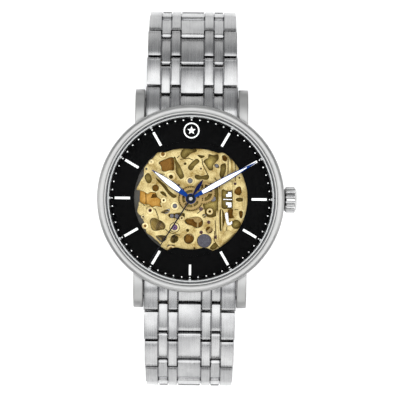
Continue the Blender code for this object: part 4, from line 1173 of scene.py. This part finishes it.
# The lower sheet stands for the floors of the recesses: its darker gilding and its near-black dark colour,
# drawn in strongly near the walls, are painted shade.
SHADE_PAINTED_OLIVE_GOLD = gold("olive gilding with painted shade", (0.26, 0.20, 0.065), (0.03, 0.018, 0.004), 6.0, 3.5)
fit(soften(upper, 0.11, 1, 40), "case", PALE_GOLD, ["main_plate"])
fit(soften(gathered("lower_sheet", [lower] + posts), 0.03, 1, 40), "case", SHADE_PAINTED_OLIVE_GOLD)
rim_points = [polar(11.0, a) for a in range(118, 258, 3)] + [polar(12.9, a) for a in range(255, 115, -3)]
fit(sawn("movement_rim", rim_points, CASE_Z + 5.7, SHEET + 0.03), "case", HOLDER)
print(len(DEEP_OPENINGS) + len(SHALLOW_OPENINGS), "openings")

# %% [markdown]
# Small parts stand on the plate: bosses with a hole, rubies pressed into gilded settings, and steel
# screws with a slot. A screw is turned, then slotted by a saw.

# %% Screws, jewels and bosses
def screw(centre, radius, height, turn):
    head = soften(rod("screw", radius, height - 0.25, height, segments=32), 0.05, 2)
    slot = block("slot", (-radius * 2, -0.09, height - 0.1), (radius * 2, 0.09, height + 1))
    mill(head, slot)
    head.data.transform(shift(centre[0] * MM, centre[1] * MM, 0) @ spun(turn))
    return head


def ring_boss(centre, outer, inner, low, high):
    boss = turned("boss", [(inner, low), (outer, low), (outer, high), (inner, high)], 40)
    return soften(moved(boss, centre), 0.07, 2)


def jewel(centre, radius, top):
    """A ruby: a low turned disc with an oil sink, and its pivot hole."""
    stone = turned("jewel", [
        (0.1, top - 0.25), (radius, top - 0.25), (radius, top - 0.05), (radius - 0.06, top),
        (0.28, top), (0.1, top - 0.12),
    ], 32)
    return moved(stone, centre)


T = PLATE_TOP  # heights on the plate are counted from its face
# Centre, outer radius, radius of the hole, and how far the boss stands over the plate.
BOSSES = (
    ((-6.1, 9.5), 0.75, 0.4, 0.25), ((-8.6, 7.8), 0.62, 0.12, 0.15), ((-4.3, 4.65), 0.95, 0.42, 0.12),
    ((-3.4, -1.6), 0.85, 0.5, 0.15), ((-5.8, -0.4), 0.6, 0.22, 0.15), ((-8.7, -2.6), 0.75, 0.35, 0.12),
    ((-9.75, -5.95), 0.72, 0.3, 0.12), ((-4.15, -10.85), 0.8, 0.35, 0.15),
    ((4.1, -2.7), 0.68, 0.3, 0.05), ((2.1, 6.5), 0.62, 0.22, -0.1), ((-0.2, 3.85), 0.85, 0.55, 0.12),
    ((-3.4, -6.2), 0.95, 0.62, -0.05), ((-1.9, -4.2), 0.5, 0.2, 0.05), ((-10.2, -4.0), 0.42, 0.2, -0.15),
)
bosses = [ring_boss(at, outer, inner, SHEET, T + rise) for at, outer, inner, rise in BOSSES]
fit(gathered("bosses", bosses), "case", BRIGHT_GOLD)
BUSHED = ((-6.1, 9.5), (-9.75, -5.95), (-4.15, -10.85))
bushes = [ring_boss(at, 0.42, 0.12, SHEET, SHEET + 0.2) for at in BUSHED]
fit(gathered("bushes", bushes), "case", ORANGE_GOLD)
# Centre, radius and rise over the plate.
JEWELS = (
    ((2.2, -2.2), 0.42, 0.02), ((3.9, -5.0), 0.36, 0), ((2.3, -7.2), 0.38, 0), ((5.6, -8.2), 0.38, -0.1),
    ((9.5, 3.3), 0.28, 0), ((-8.7, -2.6), 0.34, 0), ((8.6, -9.4), 0.36, -0.1),
)
stones = [jewel(at, radius, T + rise) for at, radius, rise in JEWELS]
fit(gathered("rubies", stones), "case", RUBY)
PURPLE = plain("violet ruby", (0.055, 0.004, 0.075), 0.2, Coat_Weight=0.3)
fit(jewel((-3.4, -6.2), 0.6, T + 0.05), "case", PURPLE)
# Centre, radius, rise over the plate and turn of the slot.
SCREWS = (
    ((-0.2, 3.85), 0.52, 0.02, 70), ((4.8, 0.0), 0.55, -0.1, -50), ((2.9, -3.65), 0.48, 0, 40),
    ((-3.4, -1.6), 0.46, 0.05, 55), ((-4.0, -3.75), 0.42, -0.1, 100), ((-3.0, -3.75), 0.42, -0.1, 80),
    ((5.5, 7.1), 0.4, -0.15, -35),
)
screws = [screw(at, radius, T + rise, slot) for at, radius, rise, slot in SCREWS]
SCREW_STEEL = plain("screw steel", (0.12, 0.115, 0.125), 0.3, 1.0, 6.0, 0.35)
fit(gathered("screws", screws), "case", SCREW_STEEL)
orange = sawn("orange_plate", curve([(-12.3, 1.9), (-9.3, 1.9), (-6.6, 1.0), (-5.9, -0.8), (-5.9, -2.1),
                                     (-9.0, -2.1), (-12.3, -1.1)]), CASE_Z + 5.0, CASE_Z + 5.3)
dark_opening = [(-8.6, 0.1), (-8.2, 0.95), (-7.3, 0.75), (-6.6, 0.3)]
groove = [(-9.8, 1.8), (-9.65, 1.8), (-9.5, -1.9), (-9.65, -1.9)]
mill(orange, sawn("dark_opening", dark_opening, CASE_Z + 4, CASE_Z + 6),
     sawn("groove", groove, CASE_Z + 5.15, CASE_Z + 6))
fit(soften(orange, 0.05, 1), "case", ORANGE_GOLD)
RACK = (CASE_Z + 5.35, CASE_Z + 5.48)
rack = []
for tooth in range(12):
    near, far = 5.9 + 0.26 * tooth, 6.02 + 0.26 * tooth
    rack.append(block("tooth", (-4.35, near, RACK[0]), (-3.9, far, RACK[1])))
rack.append(block("rack", (-4.0, 5.8, RACK[0]), (-3.2, 9.1, RACK[1])))
# The rack lies deep, and its gilding is darkened as painted shade.
fit(gathered("rack", rack), "case", SHADE_PAINTED_GOLD)
print("bosses, jewels, screws")

# %% [markdown]
# On the right stand the keyless works, which set the hands: steel levers under gilded bars. A ribbed
# grey disc at the lower right is the weighted end of the winding gear's cover.

# %% Bars, levers and the ribbed disc
def bar_part(name, points, low, high, bevel=0.05):
    return soften(sawn(name, points, low, high), bevel, 2)


# Outline, and how far its lower and its upper face stand over the plate.
BARS = (
    ([(5.45, -2.6), (5.8, -2.4), (6.0, -9.0), (5.7, -9.3)], -0.1, 0.15),
    ([(6.5, -2.3), (6.75, -2.3), (6.9, -6.9), (6.65, -7.0)], -0.1, 0.2),
    ([(8.0, 8.9), (8.5, 8.7), (8.7, 4.6), (8.2, 4.4)], 0, 0.2),
    ([(8.95, 3.8), (9.2, 3.8), (9.25, -2.0), (9.0, -2.0)], 0, 0.2),
    ([(6.3, 2.3), (6.55, 2.3), (6.6, -1.8), (6.35, -1.8)], 0, 0.2),
    ([(11.2, 0.7), (11.45, 0.7), (11.4, -2.2), (11.2, -2.2)], 0, 0.25),
    (curve([(6.7, 4.3), (8.6, 3.9), (9.0, 3.0), (8.8, 1.9), (7.4, 1.9), (6.8, 2.6)]), 0, 0.14),
    (curve([(7.6, -6.8), (9.2, -7.2), (10.2, -6.9), (9.0, -8.6), (7.9, -9.6), (6.4, -9.9),
            (6.6, -8.6)]), -0.02, 0.12),
)
keyless_bars = [bar_part("bar", points, T + low, T + high) for points, low, high in BARS]
fit(gathered("keyless_bars", keyless_bars), "case", PALE_GOLD)
teeth = [block("tooth", (8.5, 4.7 + 0.42 * i, T), (8.95, 4.92 + 0.42 * i, T + 0.18)) for i in range(9)]
fit(soften(gathered("toothed_edge", teeth), 0.03, 1), "case", GOLD)
# The levers lie over the bars, so that they can move. Outline, and height of the upper face.
LEVERS = (
    ([(7.55, 0.45), (8.75, 0.45), (8.75, 1.55), (7.95, 1.55), (7.95, 1.1), (7.55, 1.1)], 0.48),
    ([(7.55, -0.65), (8.75, -0.65), (8.75, -1.8), (7.95, -1.8), (7.95, -1.3), (7.55, -1.3)], 0.48),
    ([(6.95, -0.2), (8.85, -0.2), (8.85, 0.05), (6.95, 0.05)], 0.44),
    (curve([(7.4, -3.1), (7.9, -2.9), (8.1, -4.0), (8.3, -5.0), (8.9, -4.7), (8.8, -5.4),
            (8.0, -5.6), (7.6, -4.6)]), 0.44),
)
levers = [bar_part("lever", points, T + 0.22, T + high) for points, high in LEVERS]
BRIGHT_STEEL = plain("bright steel", (0.55, 0.55, 0.57), 0.25, 1.0, 6.0, 0.3)
fit(gathered("setting_lever_fine", levers), "crown_pull", BRIGHT_STEEL, ["setting_lever"])

ribbed = rod("ribbed_disc", 1.45, T - 0.4, T - 0.02, (3.0, -9.0), 40)
for rib in range(11):
    mill(ribbed, block("rib", (1.4 + 0.29 * rib, -10.8, T - 0.1), (1.53 + 0.29 * rib, -7.2, T + 1)))
    mill(ribbed, block("rib", (1.2, -10.5 + 0.29 * rib, T - 0.1), (4.8, -10.37 + 0.29 * rib, T + 1)))
GREY_STEEL = plain("grey sintered steel", (0.085, 0.08, 0.10), 0.45, 0.8, 3.0, 0.4)
fit(ribbed, "case", GREY_STEEL)
print("keyless works")

# %% [markdown]
# ## The wheels
# A wheel blank is turned, its teeth are cut one by one, and its web is sawn out to spokes. The teeth
# here come from a cylinder with four side points per tooth, two of which are drawn outward.

# %% Wheels
def gear(name, teeth, module, low, high, first=0.0, bore=0.0, rim=0.5, spokes=0, hub=0.6):
    """A spur wheel about the origin; `first` is the angle of one tooth's middle."""
    pitch_radius = teeth * module / 2
    root, tip = pitch_radius - 1.1 * module, pitch_radius + 0.85 * module
    wheel = rod(name, root, low, high, segments=teeth * 4)
    step = 90 / teeth
    start = math.degrees(math.atan2(wheel.data.vertices[0].co.y, wheel.data.vertices[0].co.x))
    open_piece(wheel)
    pick(wheel, lambda co: math.hypot(co.x, co.y) > root * 0.9 and round(
        ((math.degrees(math.atan2(co.y, co.x)) - start) % 360) / step) % 4 in (1, 2))
    bpy.ops.transform.resize(value=(tip / root, tip / root, 1), center_override=(0, 0, 0))
    close_piece()
    wheel.data.transform(spun(first - start - 1.5 * step))
    if spokes:
        inner, outer = hub + 0.25, root - rim
        for spoke in range(spokes):
            angle = 360 * spoke / spokes
            half_in = math.degrees(0.16 / inner)
            half_out = math.degrees(0.16 / outer)
            far = 360 / spokes
            sector = [polar(inner, angle + half_in + (far - 2 * half_in) * i / 8) for i in range(9)]
            sector += [polar(outer, angle + far - half_out - (far - 2 * half_out) * i / 12)
                       for i in range(13)]
            mill(wheel, sawn("web", sector, low - 1, high + 1))
    if bore:
        mill(wheel, rod("bore", bore, low - 1, high + 1, segments=24))
    return soften(wheel, 0.02, 1, 50)


Z = CASE_Z  # the heights of the train are counted from the case back
barrel_at, third_at = polar(6.3, 115), polar(4.5, -70)
escape_at, minute_at = polar(4.0, 220), polar(3.1, 25)


def wheel_set(name, body, centre, pieces, finish, replaces):
    """The parts on one arbor, made about the origin and moved to their place."""
    made = gathered(name, pieces)
    moved(made, centre)
    return fit(made, body, finish, replaces)


def gap_facing(direction, teeth):
    """The first tooth's angle that leaves a gap in this direction, for the other wheel's tooth."""
    return direction + 180 / teeth


BRASS_CENTRE = turned_brass("turned brass, centre", (0, 0))
# The barrel lies deep under the plate, so its brass is given darker colours than the other wheels as
# painted shade.
SHADE_DARKENED_BARREL_BRASS = turned_brass("turned brass, barrel, darkened as painted shade", barrel_at, (0.15, 0.075, 0.018), (0.05, 0.02, 0.004))
BRASS_THIRD = turned_brass("turned brass, third", third_at)
BRASS_MINUTE = turned_brass("turned brass, minute", minute_at)

barrel = gear("barrel", 72, 0.15, Z + 4.5, Z + 5.1, gap_facing(115 + 180, 72), 0.62)
wheel_set("barrel_fine", "barrel", barrel_at, [
    barrel, ring_boss((0, 0), 1.6, 0.62, Z + 5.08, Z + 5.2),
    ring_boss((0, 0), 4.6, 4.3, Z + 5.08, Z + 5.18),
], SHADE_DARKENED_BARREL_BRASS, ["barrel"])
wheel_set("centre_wheel_fine", "minutes", (0, 0), [
    gear("centre", 64, 0.125, Z + 5.22, Z + 5.38, -70, 0.25, 0.5, 5, 0.9),
    gear("centre_pinion", 12, 0.15, Z + 4.5, Z + 5.1, 115, 0.25),
    ring_boss((0, 0), 0.55, 0.25, Z + 4.55, Z + 8.38),
    gear("cannon", 12, 0.12917, Z + 6.42, Z + 6.62, 25, 0.3),
], BRASS_CENTRE, ["center_wheel"])
wheel_set("third_wheel_fine", "third", third_at, [
    gear("third", 60, 9 / 68, Z + 4.22, Z + 4.38, 110, 0, 0.5, 4, 0.7),
    gear("third_pinion", 8, 0.125, Z + 5.22, Z + 5.38, gap_facing(110, 8)),
    rod("third_arbor", 0.22, Z + 3.86, Z + 5.44, segments=16),
], BRASS_THIRD, ["third_wheel"])
wheel_set("fourth_wheel_fine", "seconds", (0, 0), [
    gear("fourth", 72, 0.1, Z + 3.95, Z + 4.1, 220, 0, 0.45, 5, 0.6),
    gear("fourth_pinion", 8, 9 / 68, Z + 4.02, Z + 4.38, gap_facing(110, 8) + 180),
    rod("fourth_arbor", 0.15, Z + 3.86, Z + 8.83, segments=16),
], BRASS_CENTRE, ["fourth_wheel"])
wheel_set("minute_wheel_fine", "minute_works", minute_at, [
    gear("minute_wheel", 36, 0.12917, Z + 6.42, Z + 6.62, gap_facing(25 + 180, 36), 0, 0.4, 4, 0.75),
    gear("minute_pinion", 10, 0.124, Z + 6.5, Z + 6.9, gap_facing(25 + 180, 10)),
    rod("minute_arbor", 0.2, Z + 5.9, Z + 6.92, segments=16),
], BRASS_MINUTE, ["minute_wheel"])
wheel_set("hour_wheel_fine", "hours", (0, 0), [
    gear("hour_wheel", 40, 0.124, Z + 6.66, Z + 6.9, 25, 0.64, 0.5, 5, 1.1),
    ring_boss((0, 0), 0.95, 0.64, Z + 6.7, Z + 7.94),
], BRASS_CENTRE, ["hour_wheel"])

ratchet = gear("ratchet", 45, 0.13, Z + 2.85, Z + 3.15, 0)
wheel_set("ratchet_fine", "ratchet", barrel_at, [
    ratchet, rod("barrel_arbor", 0.5, Z + 2.9, Z + 5.3, segments=24),
    ring_boss((0, 0), 1.1, 0.5, Z + 2.7, Z + 2.9),
], MOVEMENT_STEEL, ["ratchet_wheel"])
print("wheels")

# %% [markdown]
# The escape wheel has pointed club teeth. The balance wheel carries small timing screws on its rim,
# and a flat blued spiral, the hairspring, swings it.

# %% Escapement and balance
def spiral_ribbon(name, inner, outer, turns, width, low, high, steps=24):
    """A spring: a ribbon that winds outward, with the same number of steps in each turn."""
    near, far = [], []
    count = int(turns * steps)
    for i in range(count + 1):
        radius = inner + (outer - inner) * i / count
        near.append(polar(radius, 360 * i / steps))
        far.append(polar(radius + width, 360 * i / steps))
    return sawn(name, near + far[::-1], low, high)


escape_points = []
for tooth in range(20):
    for share, reach in ((0.0, 1.62), (0.5, 1.66), (0.75, 2.15), (0.88, 2.15), (0.9, 1.75)):
        escape_points.append(polar(reach, 18 * (tooth + share)))
escape = sawn("escape", escape_points, Z + 4.52, Z + 4.66)
for spoke in range(4):
    sector = [polar(0.55, 90 * spoke + 18 + 54 * i / 5) for i in range(6)]
    sector += [polar(1.35, 90 * spoke + 82 - 74 * i / 8) for i in range(9)]
    mill(escape, sawn("web", sector, Z + 4, Z + 5))
wheel_set("escape_fine", "escape", escape_at, [
    soften(escape, 0.02, 1, 50),
    gear("escape_pinion", 8, 0.1, Z + 3.95, Z + 4.64, gap_facing(220 + 180, 8)),
    rod("escape_arbor", 0.14, Z + 3.86, Z + 5.44, segments=12),
], MOVEMENT_STEEL, ["escape_wheel"])

balance_at = (-5.2, -6.6)
rim = turned("rim", [(3.55, Z + 3.9), (4.0, Z + 3.9), (4.0, Z + 4.14), (3.55, Z + 4.14)], 96)
parts = [soften(rim, 0.04, 2)]
for angle in (20, 110):
    arm = block("arm", (-3.7, -0.2, Z + 3.94), (3.7, 0.2, Z + 4.1))
    arm.data.transform(spun(angle))
    parts.append(soften(arm, 0.03, 1))
for angle in range(0, 360, 30):
    timing_screw = soften(rod("timing_screw", 0.14, Z + 4.1, Z + 4.2, segments=12), 0.02, 1)
    parts.append(moved(timing_screw, polar(3.78, angle)))
parts.append(rod("staff", 0.3, Z + 3.86, Z + 5.44, segments=20))
BRASS_BALANCE = turned_brass("turned brass, balance", balance_at)
wheel_set("balance_fine", "balance", balance_at, parts, BRASS_BALANCE, ["balance_wheel"])
hair = spiral_ribbon("hairspring", 0.5, 2.3, 6, 0.06, Z + 4.2, Z + 4.34)
wheel_set("hairspring_fine", "balance", balance_at, [hair], DARK_BLUE, ["hairspring"])
coil = spiral_ribbon("mainspring", 1.5, 4.35, 4, 0.14, Z + 4.67, Z + 5.05)
wheel_set("mainspring_fine", "barrel", barrel_at, [coil], MOVEMENT_STEEL, ["mainspring"])
print("escapement and balance")

# %% [markdown]
# ## Bridges under the train
# Below the wheels the train bridge closes the movement towards the back, where it shows through the
# glass. It is cut by the room of the balance, whose cock crosses it. On the dial's side it lies in
# shade, and that shade is painted into its colour as a dark brown gilding.

# %% Bridge, cock and pallet fork
bridge = rod("bridge", 12.95, Z + 3.3, Z + 3.8, segments=128)
weld(bridge, rod("rotor_post", 0.9, Z + 2.15, Z + 3.4, segments=32))
mill(bridge, rod("balance_room", 4.5, Z + 2, Z + 5, balance_at, 64))
mill(bridge, rod("arbor_hole", 0.62, Z + 2, Z + 5, barrel_at, 24))


def strip(start, end, reach):
    """A straight band between two points, as wide as twice the reach."""
    along = math.atan2(end[1] - start[1], end[0] - start[0])
    x, y = -math.sin(along) * reach, math.cos(along) * reach
    return [(start[0] + x, start[1] + y), (start[0] - x, start[1] - y),
            (end[0] - x, end[1] - y), (end[0] + x, end[1] + y)]


mill(bridge, sawn("cock_room", strip(polar(13.5, 250), balance_at, 2.0), Z + 2, Z + 5))
for groove in range(-6, 7):
    mill(bridge, block("stripe", (-13, 1.9 * groove - 0.05, Z + 3.2), (13, 1.9 * groove + 0.05, Z + 3.34)))
fit(soften(bridge, 0.05, 1, 40), "case", SHADE_PAINTED_GOLD, ["train_bridge"])
arm = sawn("cock_arm", strip(polar(12.4, 250), balance_at, 1.3), Z + 3.3, Z + 3.75)
weld(arm, rod("cock_boss", 1.7, Z + 3.25, Z + 3.77, balance_at, 48))
fit(soften(arm, 0.08, 2), "case", GOLD, ["balance_cock"])
back_parts = [screw(polar(11.5, a), 0.75, -(Z + 3.2), a) for a in (35, 155, 250, 330)]
for part in back_parts:
    part.data.transform(Matrix.Scale(-1, 4, (0, 0, 1)))
    part.data.flip_normals()
back_stone = ring_boss(balance_at, 0.6, 0.15, Z + 3.1, Z + 3.3)
fit(gathered("back_screws", back_parts), "case", MOVEMENT_STEEL)
fit(back_stone, "case", RUBY)

pallet_at = Vector((-4.15, -4.72))
toward = (Vector(escape_at) - pallet_at).normalized()
across = Vector((-toward.y, toward.x))
near = (Vector(escape_at) - pallet_at).length - 2.27
half = [(-1.4, 0.05), (-1.55, 0.28), (-1.3, 0.12), (-0.25, 0.12), (-0.05, 1.45), (near + 0.38, 1.74),
        (near + 0.4, 1.52), (0.12, 1.2), (0.1, 0.2)]
points = [pallet_at + toward * f + across * a for f, a in half]
points += [pallet_at + toward * f - across * a for f, a in half[::-1]]
fork = sawn("fork", [(p.x, p.y) for p in points], Z + 4.52, Z + 4.66)
staff = rod("pallet_staff", 0.15, Z + 4.3, Z + 5.44, tuple(pallet_at), 12)
fit(gathered("pallet_fork_fine", [soften(fork, 0.02, 1, 50), staff]), "pallet",
    MOVEMENT_STEEL, ["pallet_fork"])

stem = rod("stem", 0.42, 7.0, 21.65, segments=24)
weld(stem, rod("square", 0.56, 8.2, 10.4, segments=8))
fit(soften(along_stem(stem), 0.04, 1), "crown", MOVEMENT_STEEL, ["winding_stem"])
holder = turned("holder_ring", [(13.15, Z + 3.3), (14.9, Z + 3.3), (14.9, Z + 6.95), (13.15, Z + 6.95)], 96)
hole = rod("stem_hole", 0.8, 12.0, 16.0)
fit(soften(mill(holder, along_stem(hole)), 0.1, 2), "case", HOLDER, ["movement_holder"])
print("bridges, fork, stem and holder")

# %% [markdown]
# ## The back
# The case back is screwed in, with six notches for its key, and has a window of its own. Behind the
# glass swings the rotor, a heavy half disc of steel whose rim carries most of its weight.

# %% Case back, its glass and the rotor
back = turned("back", [
    (11.0, Z + 0.0), (16.7, Z + 0.0), (17.15, Z + 0.15), (17.3, Z + 0.4), (17.3, Z + 1.0), (15.9, Z + 1.0),
    (15.9, Z + 1.65), (11.95, Z + 1.65), (11.95, Z + 0.5), (11.0, Z + 0.5),
], 160)
for notch in range(6):
    cutter = block("notch", (-1.1, 15.9, Z - 1), (1.1, 18.5, Z + 0.45))
    cutter.data.transform(spun(60 * notch + 30))
    mill(back, cutter)
groove = turned("ring_groove", [(12.4, Z - 0.1), (12.6, Z - 0.1), (12.6, Z + 0.08), (12.4, Z + 0.08)], 96)
mill(back, groove)
fit(soften(back, 0.06, 2, 35), "case", POLISHED, ["case_back"])
glass = soften(rod("back_glass", 11.85, Z + 0.56, Z + 1.3, segments=96), 0.1, 2)
fit(glass, "case", CRYSTAL, ["case_back_glass"])
seal_section = [(16.2, Z + 1.08), (16.7, Z + 1.08), (16.7, Z + 1.48), (16.2, Z + 1.48)]
seal = soften(turned("seal", seal_section, 96), 0.1, 2)
fit(seal, "case", RUBBER, ["back_gasket"])

outline = [polar(12.7, 180 + 180 * i / 48) for i in range(49)]
rotor = sawn("rotor_plate", outline, Z + 2.25, Z + 2.55)
weld(rotor, sawn("rim", outline + [polar(10.1, 360 - 180 * i / 48) for i in range(49)], Z + 1.95, Z + 3.1))
weld(rotor, rod("hub", 2.4, Z + 2.2, Z + 2.7, segments=48))
mill(rotor, rod("bearing", 1.0, Z + 1, Z + 4, segments=32))
for angle in (225, 270, 315):
    mill(rotor, rod("lightening", 1.7, Z + 1, Z + 3, polar(6.4, angle), 32))
fit(soften(rotor, 0.06, 2), "rotor", GOLD, ["rotor"])
print("back and rotor")

# %% [markdown]
# ## The folding clasp
# Two blades of sheet steel fold over each other inside a cover, and two spring buttons in its sides
# lock it. On a real one the blades are stamped and bent, and the cover is milled and brushed.

# %% Blades
hinge = pivot("clasp_inner_hinge")
fold = pivot("clasp_middle_hinge")
lid_pin = pivot("clasp_cover_hinge")
down, tongues = column_spans(8.9)
tongues = [(left + 0.08, right - 0.08) for left, right in tongues]


def lying_rod(name, radius, left, right, y, z, segments=24):
    """A rod across the watch, as its pins lie."""
    piece = rod(name, radius, left, right, (-z, y), segments)
    piece.data.transform(spun(90, "Y"))
    return piece


def round_end(y, z, radius, toward, steps=8):
    """A half circle round a pin, in side view, from its bottom to its top."""
    angles = [math.pi * i / steps for i in range(steps + 1)]
    return [(y + toward * radius * math.sin(a), z - radius * math.cos(a)) for a in angles]


def rect(left, right, low, high):
    return [(left, low), (right, low), (right, high), (left, high)]


blade = crosswise("inner_blade", rect(hinge.y + 1.25, fold.y, 2.5, 3.1), -6.8, 6.8)
for left, right in tongues:
    tongue = [(hinge.y + 2.6, 3.05), (hinge.y + 2.6, 2.55), (hinge.y + 1.15, 2.55)]
    tongue += round_end(hinge.y, hinge.z, FINGER * 0.98, -1)
    weld(blade, crosswise("tongue", tongue, left, right))
weld(blade, lying_rod("knuckle", 0.85, -2.5, 2.5, fold.y, fold.z))
for left, right in ((-9, -2.5), (2.5, 9)):
    mill(blade, crosswise("relief", rect(fold.y - 1.1, fold.y + 2, 0, 5), left, right))
slot = block("slot", (-3.2, -12, 2), (3.2, 13, 4))
mill(blade, soften(slot, 1.2, 6))
fit(soften(blade, 0.06, 2), "clasp_inner", SATIN, ["clasp_inner_blade"])

blade = crosswise("middle_blade", rect(lid_pin.y, fold.y, 1.5, 2.1), -6.8, 6.8)
for left, right in ((-6.8, -2.62), (2.62, 6.8)):
    weld(blade, lying_rod("knuckle", 0.85, left, right, fold.y, fold.z))
weld(blade, lying_rod("knuckle", 0.7, -2.5, 2.5, lid_pin.y, lid_pin.z))
mill(blade, crosswise("relief", rect(fold.y - 1.1, fold.y + 2, 0, 5), -2.62, 2.62))
for left, right in ((-9, -2.5), (2.5, 9)):
    mill(blade, crosswise("relief", rect(lid_pin.y - 2, lid_pin.y + 1.0, 0, 5), left, right))
slot = block("slot", (-2.4, -10, 1), (2.4, 10, 3))
mill(blade, soften(slot, 1.0, 6))
fit(soften(blade, 0.06, 2), "clasp_middle", SATIN, ["clasp_middle_blade"])
print("blades")

# %% [markdown]
# The cover is the outer leaf: a shallow tray into which the blades fold. It is drawn in side view, so
# that its ends rise towards the hinges, and its tongues reach for the last row of the bracelet. Each
# side wall has a gap in which a spring button sits, with grooves for the finger.

# %% Cover and buttons
side = [(-19.0, 0.95), (-18.5, 0.6), (-17.0, 0.3), (-13.5, 0.0), (13.5, 0.0), (17.0, 0.35), (18.9, 0.75),
        (19.45, 1.6), (19.45, 2.55), (18.7, 2.55), (18.7, 1.25), (-18.9, 1.25)]
cover = crosswise("cover", side, -8.9, 8.9)
for left, right in tongues:
    tongue = [(19.2, 2.45), (19.2, 0.95), (19.9, 1.2)]
    tongue += round_end(-hinge.y, hinge.z, 0.93, 1) + [(19.9, 2.6)]
    weld(cover, crosswise("tongue", tongue, left, right))
for left, right in ((-8.9, -8.05), (8.05, 8.9)):
    for start, stop in ((-13.0, -2.7), (2.7, 13.0)):
        wall = [(start, 0.5), (stop, 0.5), (stop, 2.9), (start + 0.6, 2.9)]
        weld(cover, crosswise("wall", wall, left, right))
for left, right in ((-6.8, -2.62), (2.62, 6.8)):
    weld(cover, lying_rod("ear", 0.7, left, right, lid_pin.y, lid_pin.z))
mill(cover, crosswise("pocket", rect(lid_pin.y - 1.0, lid_pin.y + 1.2, -1, 4), -2.62, 2.62))
for column in EDGES:
    for end in (-1, 1):
        at = end * column
        mill(cover, crosswise("line", rect(-12.5, 12.5, -0.05, 0.12), at - 0.07, at + 0.07))
fit(soften(cover, 0.07, 2), "clasp_cover", BRUSHED, ["clasp_cover"])

head = [(-2.5, 1.45), (2.5, 1.45), (2.5, 2.3), (2.2, 2.7), (-2.2, 2.7), (-2.5, 2.3)]
for name, end in (("left", -1), ("right", 1)):
    button = crosswise(f"button_{name}_fine", head, *sorted((end * 7.75, end * 9.68)))
    for line in range(-3, 4):
        at = end * 9.72
        groove = rect(line * 0.6 - 0.1, line * 0.6 + 0.1, 1, 3)
        mill(button, crosswise("grip", groove, at - 0.12, at + 0.12))
    fit(soften(button, 0.08, 2), f"button_{name}", POLISHED, [f"clasp_button_{name}"])
for name, end in (("12", 1), ("6", -1)):
    bar = lying_rod(f"spring_bar_{name}_fine", 0.44, -11.1, 11.1, end * 21.3, CASE_Z + 3.4)
    weld(bar, lying_rod("sleeve", 0.6, -9.0, 9.0, end * 21.3, CASE_Z + 3.4))
    fit(soften(bar, 0.05, 1), "case", MOVEMENT_STEEL, [f"spring_bar_{name}"])
print("clasp, buttons, spring bars")
